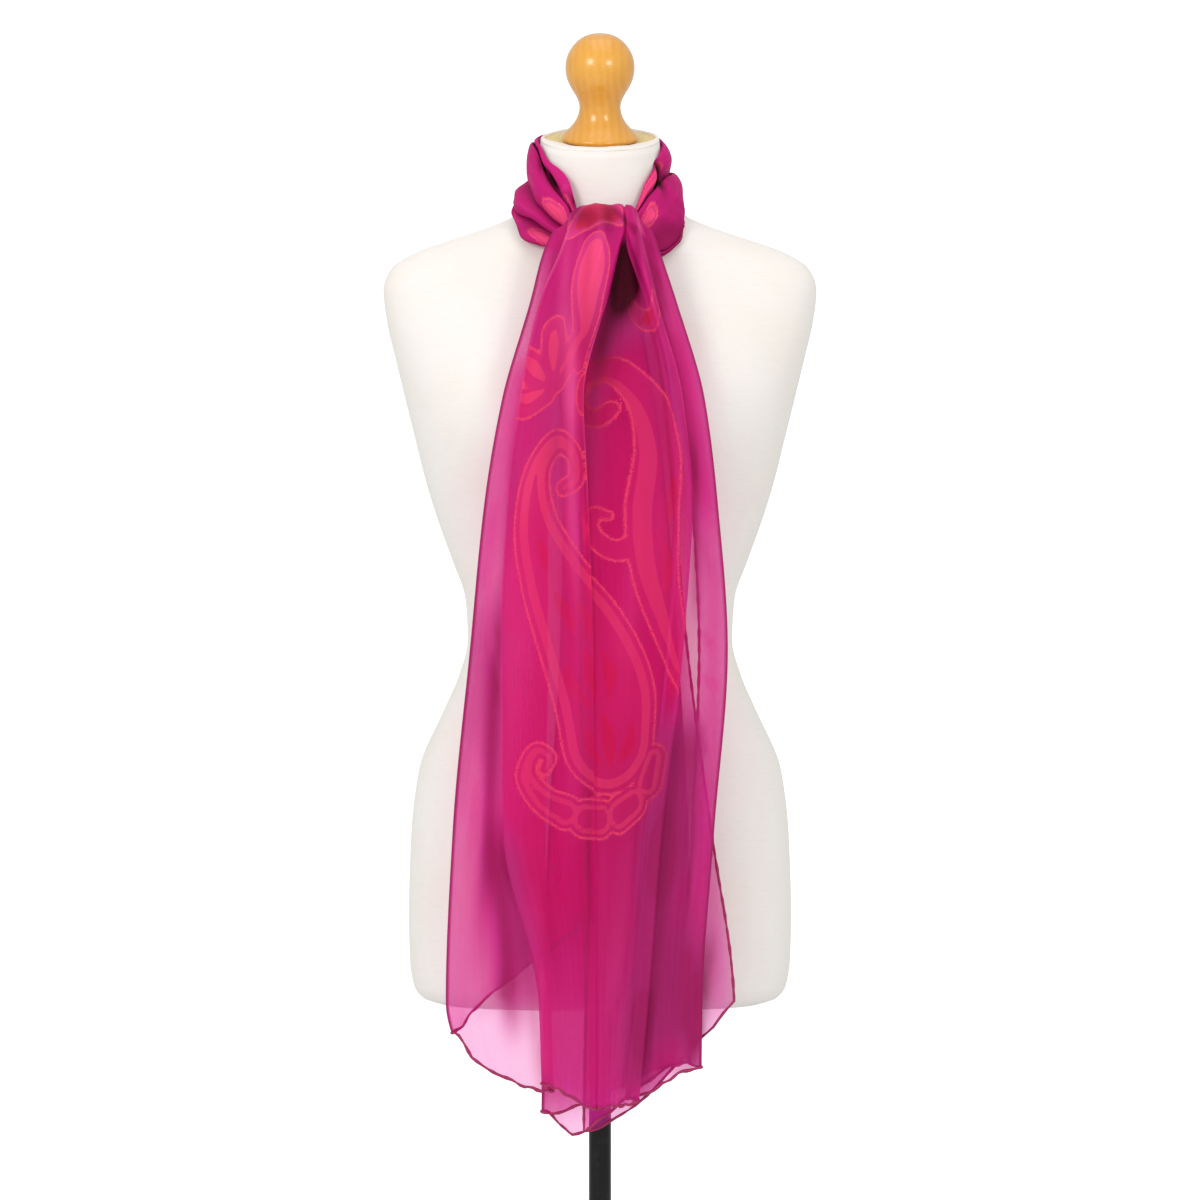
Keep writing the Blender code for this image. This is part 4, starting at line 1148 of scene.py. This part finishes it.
def wrap_points():
    """Rows of the wrap's points, one row for each angle, how shaded they are, and the angles."""
    share = np.linspace(0, 1, WRAP_STEPS + 1)
    angles = -WRAP_FIRST - (360 - 2 * WRAP_FIRST) * share
    creases = [
        Crease(math.radians(c.from_angle) * WRAP_ARM, c.from_up,
               math.radians(c.to_angle) * WRAP_ARM, c.to_up, c.depth, c.width)
        for c in WRAP_CREASES
    ]
    rows, shades = [], []
    for angle in (angles + 180) % 360 - 180:
        profile = rounded(wrap_profile(angle), WRAP_ROUNDING)
        heights = profile[:, 1]
        radius = form_radius(angle, heights)
        neck = form_radius(angle, np.array([NECK_HEIGHT]))[0]
        radius = np.where(heights < NECK_HEIGHT, neck + FLARE * (radius - neck), radius)
        round_neck = np.full(len(heights), math.radians(angle) * WRAP_ARM)
        creased = crease_depth(round_neck, heights, creases)
        dent = wrap_dents(angle, heights)
        radius = radius + profile[:, 0] + creased - WRAP_DENT * dent
        radius += float(column(WRAP_STATIONS, "stand_off", "angle", angle))
        x, y = radius * math.sin(math.radians(angle)), -radius * math.cos(math.radians(angle))
        shade = profile[:, 2] - RIDGE_LIGHT * creased + dent
        rows.append(np.column_stack([x, y, heights]))
        shades.append(np.clip(shade, WRAP_SHADE_LEAST, WRAP_SHADE_MOST))
    return np.array(rows), np.array(shades), angles


class SCARF_OT_wrap(bpy.types.Operator):
    """Lays the stretch of the scarf that goes round the neck"""

    bl_idname = "scarf.wrap"
    bl_label = "Neck wrap"

    def execute(self, context):
        points, shade, angles = wrap_points()
        wrap = grid_object("neck_wrap", points)
        steps = np.linalg.norm(np.diff(points, axis=1), axis=2)
        along = np.concatenate([np.zeros((len(points), 1)), np.cumsum(steps, axis=1)], axis=1)
        turned = np.radians((angles + 180) % 360 - 180)[:, None] * WRAP_ARM
        across = np.broadcast_to(turned, along.shape)
        keep_flat_place(wrap, along, across)
        flat = np.column_stack([across.ravel(), along.ravel()])
        motif = brush(flat, WRAP_BODY_STROKES)
        cover = 1 - (1 - context.scene.scarf.cover) ** WRAP_BUNCH
        # The wrap's shade goes on as painted shade where positive (slits between the rolls, dents,
        # crease valleys) and painted highlight where negative (crease ridges); its deepest shade
        # is also painted as hollow.
        keep_values(
            wrap, motif=motif, band=motif + WRAP_BAND_IN, leaf=motif + WRAP_LEAF_IN,
            cover=np.full(motif.shape, cover), fold=shade,
            hollow=WRAP_HOLLOW * np.clip(shade, 0, WRAP_SHADE_MOST) ** 2,
        )
        dress(wrap, scarf_cloth(context), "chiffon", "wrap_left", "wrap_back", "wrap_right")
        return {"FINISHED"}


def scarf_cloth(context):
    """The chiffon, made once for all stretches."""
    return bpy.data.materials.get("sheer_chiffon") or chiffon(context.scene.scarf)


# ================================================================ the falls
def hang(name, heights):
    return column(HANG, name, "height", heights)


def line_x(line, heights):
    return curve_through(FALL_HEIGHTS[::-1], line.across[::-1], heights)


def soft_folds(x, height):
    """How far the soft folds carry the cloth forward."""
    total = np.zeros_like(x)
    for fold in SOFT_FOLDS:
        span = (fold.from_height - height) / (fold.from_height - fold.to_height)
        middle = fold.top_x + (fold.low_x - fold.top_x) * np.clip(span, 0, 1)
        shows = smooth_step(span / SOFT_FOLD_START)
        total += shows * fold.depth * np.exp(-(((x - middle) / fold.width) ** 2))
    return total


def layer_y(line, heights):
    """The place from front to back of the cloth that follows a line."""
    stack = (REAR_LAYER - line.layer) * hang("gap", heights)
    return hang("rear", heights) - stack - line.lift * hang("lift", heights)


# A column of a fall's grid: the lines before and after it, its share of the way between them,
# or how far it has gone round the fold at the line after it, in degrees.
Column = namedtuple("Column", "before after share turn")


def turns_at(lines, i):
    """True if the cloth changes its layer at a line."""
    if i in (0, len(lines) - 1):
        return False
    return (lines[i - 1].layer, lines[i - 1].lift) != (lines[i].layer, lines[i].lift)


def fall_columns(lines):
    columns = [Column(0, 1, 0.0, None)]
    for i in range(1, len(lines)):
        width = abs(lines[i].across.waist - lines[i - 1].across.waist)
        steps = max(CELLS_LEAST, round(width / CELL))
        columns += [Column(i - 1, i, k / steps, None) for k in range(1, steps + 1)]
        if turns_at(lines, i):
            turns = [180 * k / FOLD_STEPS for k in range(1, FOLD_STEPS + 1)]
            columns += [Column(i - 1, i, 1.0, turn) for turn in turns]
    return columns


def fold_cut(lines, i, heights):
    """How far from a fold's edge the cloth starts to turn."""
    if not turns_at(lines, i):
        return np.zeros_like(heights)
    before, at, after = (line_x(lines[k], heights) for k in (i - 1, i, i + 1))
    return np.minimum(FOLD_ROUND, FOLD_ROOM * np.minimum(np.abs(at - before), np.abs(after - at)))


def column_place(lines, spot, heights):
    """Across, front to back, and the painted shade (positive) or highlight (negative) at a fold's
    edge, for a column at several heights.
    """
    after = line_x(lines[spot.after], heights)
    before = line_x(lines[spot.before], heights)
    way = np.sign(after - before)
    cut = fold_cut(lines, spot.after, heights)
    here = lines[spot.before]
    if spot.turn is None:
        start = before + way * fold_cut(lines, spot.before, heights)
        x = start + (after - way * cut - start) * spot.share
        return x, layer_y(here, heights), np.zeros_like(heights)
    following = lines[spot.after]
    onward = np.sign(line_x(lines[spot.after + 1], heights) - after)
    round_it = math.radians(spot.turn)
    reach = cut * (1 - math.sin(round_it))
    x = after - way * reach if spot.turn <= 90 else after + onward * reach
    share = (1 - math.cos(round_it)) / 2
    y = layer_y(here, heights) * (1 - share) + layer_y(following, heights) * share
    # A fold's edge gets a painted highlight where it is listed as bright, and painted shade
    # elsewhere.
    if following.name in BRIGHT_FOLDS:
        edge = -smooth_step((heights - BRIGHT_FOLDS[following.name]) / BRIGHT_FADE)
    else:
        edge = DARK_FOLDS.get(following.name, 1.0)
    return x, y, np.where(onward == way, 0.0, edge * math.sin(round_it))


def flat_across(lines, columns):
    """Where each column lies across the flat cloth, from the middle of the front panel."""
    waist = np.array([FALL_HEIGHTS.waist], float)
    x, y = np.array([column_place(lines, spot, waist)[:2] for spot in columns])[..., 0].T
    along = np.concatenate([[0.0], np.cumsum(np.hypot(np.diff(x), np.diff(y)))])
    middle = np.argmin(np.abs(x - PANEL_MIDDLE) + PANEL_FRONT * (y - y.min()))
    return along[middle] - along


def fall_hems(lines, columns):
    """The height of the hem at each column; it is level at a fold."""
    seat = np.array([FALL_HEIGHTS.seat], float)
    x = np.array([column_place(lines, spot, seat)[0][0] for spot in columns])
    along = np.concatenate([[0.0], np.cumsum(np.abs(np.diff(x)) + COLUMN_STEP_LEAST)])
    stops, hems = [along[0]], [lines[0].hem]
    for i in range(1, len(lines)):
        at = [k for k, spot in enumerate(columns) if spot.after == i and spot.share == 1.0]
        for k in sorted({at[0], at[-1]}):
            stops.append(along[k])
            hems.append(lines[i].hem)
    return curve_through(stops, hems, along)


def fall_grid(lines, columns, top, rows):
    """The fall's points [row, column], the painted shade or highlight that its folds and creases
    give each, how many layers' worth of threads the cloth has there, and where each column lies
    across the flat cloth."""
    flat = flat_across(lines, columns)
    swing = HEM_DIP_SWING * np.sin(flat / HEM_DIP_SWING_WAVE)
    hems = fall_hems(lines, columns) + HEM_DIP * np.sin(flat / HEM_DIP_WAVE + swing)
    share = (np.arange(rows + 1) / rows) ** ROW_RATE
    points = np.zeros((rows + 1, len(columns), 3))
    fold = np.zeros((rows + 1, len(columns)))
    for k, spot in enumerate(columns):
        heights = top + (hems[k] - top) * share
        x, y, fold[:, k] = column_place(lines, spot, heights)
        y = y + hang("bow", heights) * (x - CREST_MIDDLE_X) ** 2 * MM - soft_folds(x, heights)
        if lines is BACK_FALL:
            y = y + TUCK * smooth_step((heights - TUCK_FROM) / TUCK_RISE)
        near_hem = np.exp(-(heights - hems[k]) / HEM_REACH)
        swing = HEM_SWING * np.sin(flat[k] / HEM_SWING_WAVE)
        wave = np.sin(2 * math.pi * flat[k] / HEM_WAVE + swing)
        points[:, k] = np.column_stack([x, y + HEM_RIPPLE * wave * near_hem, heights])
    creased = crease_depth(points[..., 0], points[..., 2], FALL_CREASES)
    points[..., 1] -= creased
    fold = np.clip(fold + shade_at(points[..., 0], points[..., 2], creased), -1.0, 1.0)
    return points, fold, thread_layers(lines, columns, points, flat), flat


def thread_layers(lines, columns, points, flat):
    """How many layers' worth of threads the cloth has at each point of a fall."""
    x, y, z = (points[..., k] for k in range(3))
    across = np.abs(np.gradient(x, axis=1))
    cloth = np.hypot(across, np.gradient(y, axis=1))
    gathered = np.abs(np.gradient(flat)) / np.maximum(cloth, CLOTH_LEAST)
    gathered = np.clip(gathered, 1.0, GATHER_MOST)
    slanted = 1 + SLANT_RATE * (cloth / np.maximum(across, ACROSS_LEAST) - 1)
    slanted = np.clip(slanted, 1.0, SLANT_MOST)
    knot = smooth_step((z - BUNCH_FROM) / (BUNCH_TO - BUNCH_FROM))
    in_front = np.array([lines[spot.before].layer <= 0 for spot in columns])
    bunch = KNOT_BUNCH * np.where(in_front, 1.0, REAR_BUNCH)
    if lines is BACK_FALL:
        added = BACK_BUNCH * smooth_step((z - BACK_BUNCH_FROM) / (BACK_BUNCH_TO - BACK_BUNCH_FROM))
        added *= smooth_step((BACK_BUNCH_SIDE - x) / BACK_BUNCH_FADE)
        added += crease_depth(x, z, BACK_GATHERS)
    else:
        added = crease_depth(x, z, FRONT_GATHERS)
    return np.maximum(gathered * slanted + knot * bunch + added, THINNEST)


def shade_at(x, heights, creased):
    """How shaded the creases make a fall at places across and up."""
    return crease_depth(x, heights, FALL_SHADES) - RIDGE_LIGHT * creased


def crest_grid(knot_row, knot_shade):
    """Rows that carry the knot's row up and back over the crossing, the last one first, and
    the painted shade or highlight of each point."""
    x, y, z = knot_row.T
    creased = crease_depth(x, z, FALL_CREASES)
    unshaded = knot_shade - shade_at(x, z, creased)
    y = y + creased
    inner = y - hang("bow", z) * (x - CREST_MIDDLE_X) ** 2 * MM
    inner = inner - inner.min()
    aside = (x - CREST_MIDDLE_X) / CREST_HALF
    rise = (CREST_UP - CREST_SINK * inner) * curve_through(*zip(*CREST_SHARES), x)
    past = CREST_PAST * np.maximum(1 - aside**2, CREST_PAST_LEAST)
    rows, folds = [], []
    for k in range(CREST_ROWS, 0, -1):
        turn = np.radians((90 + past) * k / CREST_ROWS)
        up, ahead = np.sin(turn), np.cos(turn)
        reach = np.where(ahead > 0, CREST_MIDDLE_Y - y, CREST_BACK - CREST_NEST * inner)
        over_x = CREST_MIDDLE_X + (x - CREST_MIDDLE_X) * (1 - CREST_NARROW * np.minimum(up, 1))
        height = z + rise * up
        creased = crease_depth(over_x, height, FALL_CREASES)
        over_y = CREST_MIDDLE_Y - reach * ahead - creased * np.maximum(ahead, 0)
        rows.append(np.column_stack([over_x, over_y, height + creased * up]))
        folds.append(np.clip(unshaded + shade_at(over_x, height, creased), -1.0, 1.0))
    return np.array(rows), np.array(folds)


def hollow_depth(lines, columns, points):
    """How deep in a shaded hollow each point lies."""
    total = np.zeros(points.shape[:2])
    for hollow in HOLLOWS:
        inside = np.array([lines[spot.after].name == hollow.line for spot in columns])
        away_x = (points[..., 0] - hollow.across) / hollow.half_width
        away_z = (points[..., 2] - hollow.up) / hollow.half_height
        total += inside * hollow.strength * np.exp(-(away_x**2) - away_z**2)
    return np.clip(total, 0, 1)


def motif_values(flat, along):
    """The distances that the chiffon reads, at each point of a fall."""
    places = np.column_stack([flat.ravel(), along.ravel()])
    body = brush(places, BODY_STROKES)
    teardrop = brush(places, BODY_STROKES[:1])
    ring = np.abs(teardrop + OUTER_RING) - RING_HALF
    lobes = np.abs(brush(places, BODY_STROKES[1:5]) + LOBE_RING) - LOBE_RING_HALF
    band = np.minimum(np.minimum(ring, lobes), brush(places, BAND_STROKES))
    return body, band, brush(places, LEAF_STROKES)


def lay_fall(context, name, node, lines, top, rows):
    """Lays one fall of the scarf as a sheet, with a rolled hem round its three free edges."""
    scarf = context.scene.scarf
    columns = fall_columns(lines)
    points, fold, layers, flat = fall_grid(lines, columns, top, rows)
    hanging = points
    if lines is FRONT_FALL:
        crest, crest_shade = crest_grid(points[0], fold[0])
        points = np.concatenate([crest, points])
        fold = np.concatenate([crest_shade, fold])
        layers = np.concatenate([np.repeat(layers[:1], CREST_ROWS, axis=0), layers])
    steps = np.linalg.norm(np.diff(points, axis=0), axis=2)
    down = np.concatenate([np.zeros((1, len(columns))), np.cumsum(steps, axis=0)])
    along = points[-1:, :, 2] + down[-1:] - down
    across = np.broadcast_to(flat[None], along.shape)
    sheet = grid_object(name, points)
    keep_flat_place(sheet, across, along)
    motif = band = leaf = np.full(along.size, NO_MOTIF)
    hollow = np.zeros(along.shape)
    if lines is FRONT_FALL:
        motif, band, leaf = motif_values(across, along)
        hollow = hollow_depth(lines, columns, points)
    cover = 1 - (1 - scarf.cover) ** layers
    keep_values(sheet, motif=motif, band=band, leaf=leaf, cover=cover, fold=fold, hollow=hollow)
    dress(sheet, scarf_cloth(context), "chiffon", node)
    hem = edge_hem(f"{name}_hem", hanging, scarf)
    width = float(abs(flat[-1] - flat[0])) * MM


def edge_hem(name, points, scarf):
    """The rolled hem: down one selvedge, along the bottom and up the other selvedge."""
    path = np.concatenate([points[:, 0], points[-1, 1:], points[-2::-1, -1]])
    steps = np.linalg.norm(np.diff(path, axis=0), axis=1)
    path = path[np.concatenate([[True], steps > HEM_STEP_LEAST])]
    run = np.arange(len(path))
    path[:, 1] += HEM_WOBBLE * (np.sin(run / 1.9) + np.sin(run / 4.3 + 1))
    path[:, 2] += HEM_WOBBLE * (np.sin(run / 2.6 + 2) + np.sin(run / 7.1))
    along = np.concatenate([[0.0], np.cumsum(np.linalg.norm(np.diff(path, axis=0), axis=1))])
    half = 0.5 * scarf.hem / MM
    width = half * (1 + 0.22 * np.sin(along / 2.3) + 0.14 * np.sin(along / 5.3 + 1))
    hem = tube_object(name, path, width)
    material = bpy.data.materials.get("rolled_edge") or rolled_edge(scarf)
    dress(hem, material, "chiffon")
    return hem


class SCARF_OT_falls(bpy.types.Operator):
    """Hangs the back fall and lays the front fall over the crossing"""

    bl_idname = "scarf.falls"
    bl_label = "Falls"

    def execute(self, context):
        knot = FALL_HEIGHTS.knot
        lay_fall(context, "back_sheet", "back_fall", BACK_FALL, BACK_TOP, BACK_ROWS)
        lay_fall(context, "front_sheet", "front_fall", FRONT_FALL, knot, FRONT_ROWS)
        return {"FINISHED"}


# ================================================================ the stage
FLOOR_RADIUS = 2.6
BACKDROP = 1.25
AMBIENT = 0.69  # how bright the pale studio round the form is, beside its backdrop
SoftBox = namedtuple("SoftBox", "name place size power")
SOFT_BOXES = table(
    SoftBox,
    ("left_softbox", (-1.9, -3.0, 2.3), 1.2, 39), ("right_softbox", (1.8, -3.1, 2.1), 1.0, 24),
    ("top_softbox", (0.0, -0.4, 3.2), 1.6, 7),
)
LIT_PLACE = (0.0, 0.0, 1.15)


def hang_light(context, box):
    """Adds a square light that faces the form's chest."""
    data = bpy.data.lights.new(box.name, "AREA")
    data.energy = box.power * context.scene.stage.brightness
    data.shape = "SQUARE"
    data.size = box.size
    light = bpy.data.objects.new(box.name, data)
    context.scene.collection.objects.link(light)
    light.location = box.place
    x, y, z = np.array(LIT_PLACE) - np.array(box.place)
    light.rotation_euler = (math.atan2(math.hypot(x, y), -z), 0, math.atan2(-x, y))


def lay_floor():
    deselect()
    bpy.ops.mesh.primitive_circle_add(vertices=96, radius=FLOOR_RADIUS, fill_type="NGON")
    floor = bpy.context.object
    floor.name = "floor"
    finish = Finish("pale_floor")
    speckle = finish.noise(finish.place(), 40.0, 3.0)
    colour = finish.mix(speckle * 0.3, (0.86, 0.87, 0.88), (0.80, 0.81, 0.82))
    paint = finish.principled(base_color=colour, roughness=0.7)
    floor.data.materials.append(finish.shown(paint))


def light_backdrop(context):
    """Surrounds the form with a pale studio, which the camera sees brighter than the form does."""
    world = context.scene.world or bpy.data.worlds.new("studio")
    context.scene.world = world
    world.use_nodes = True
    tree = world.node_tree
    backdrop = tree.nodes["Background"]
    backdrop.inputs["Color"].default_value = (0.985, 0.993, 1.0, 1)
    seen = tree.nodes.new("ShaderNodeLightPath").outputs["Is Camera Ray"]
    level = tree.nodes.new("ShaderNodeMapRange")
    level.inputs["To Min"].default_value = AMBIENT * context.scene.stage.brightness
    level.inputs["To Max"].default_value = BACKDROP
    tree.links.new(seen, level.inputs["Value"])
    tree.links.new(level.outputs["Result"], backdrop.inputs["Strength"])


def place_camera(context):
    stage = context.scene.stage
    data = bpy.data.cameras.new("camera")
    data.lens, data.sensor_width = stage.lens, 36.0
    camera = bpy.data.objects.new("camera", data)
    context.scene.collection.objects.link(camera)
    camera.location = (0, -stage.distance, stage.eye)
    camera.rotation_euler = (math.radians(90), 0, 0)
    context.scene.camera = camera


class SCARF_OT_stage(bpy.types.Operator):
    """Sets up the pale floor, the soft lights and the camera"""

    bl_idname = "scarf.stage"
    bl_label = "Stage"

    def execute(self, context):
        lay_floor()
        light_backdrop(context)
        for box in SOFT_BOXES:
            hang_light(context, box)
        place_camera(context)
        context.scene.view_settings.view_transform = "Standard"
        context.scene.cycles.transparent_max_bounces = 24
        return {"FINISHED"}


# ================================================================ the panel and the run
OPERATORS = (
    SCARF_OT_form, SCARF_OT_cap, SCARF_OT_knob, SCARF_OT_stand, SCARF_OT_wrap,
    SCARF_OT_falls, SCARF_OT_stage,
)
SETTINGS = {"form": FormSettings, "scarf": ScarfSettings, "stage": StageSettings}


class SCARF_PT_panel(bpy.types.Panel):
    bl_label = "Chiffon scarf"
    bl_idname = "SCARF_PT_panel"
    bl_space_type = "VIEW_3D"
    bl_region_type = "UI"
    bl_category = "Scarf"

    def draw(self, context):
        for name, settings in SETTINGS.items():
            box = self.layout.box()
            for key in settings.__annotations__:
                box.prop(getattr(context.scene, name), key)
        for operator in OPERATORS:
            self.layout.operator(operator.bl_idname)


def register():
    for name, settings in SETTINGS.items():
        bpy.utils.register_class(settings)
        setattr(bpy.types.Scene, name, PointerProperty(type=settings))
    for shown in (*OPERATORS, SCARF_PT_panel):
        bpy.utils.register_class(shown)


def unregister():
    for shown in (SCARF_PT_panel, *reversed(OPERATORS)):
        bpy.utils.unregister_class(shown)
    for name, settings in SETTINGS.items():
        delattr(bpy.types.Scene, name)
        bpy.utils.unregister_class(settings)


def main():
    register()
    bpy.ops.scarf.form()
    bpy.ops.scarf.cap()
    bpy.ops.scarf.knob()
    bpy.ops.scarf.stand()
    bpy.ops.scarf.wrap()
    bpy.ops.scarf.falls()
    bpy.ops.scarf.stage()


if __name__ == "__main__":
    main()
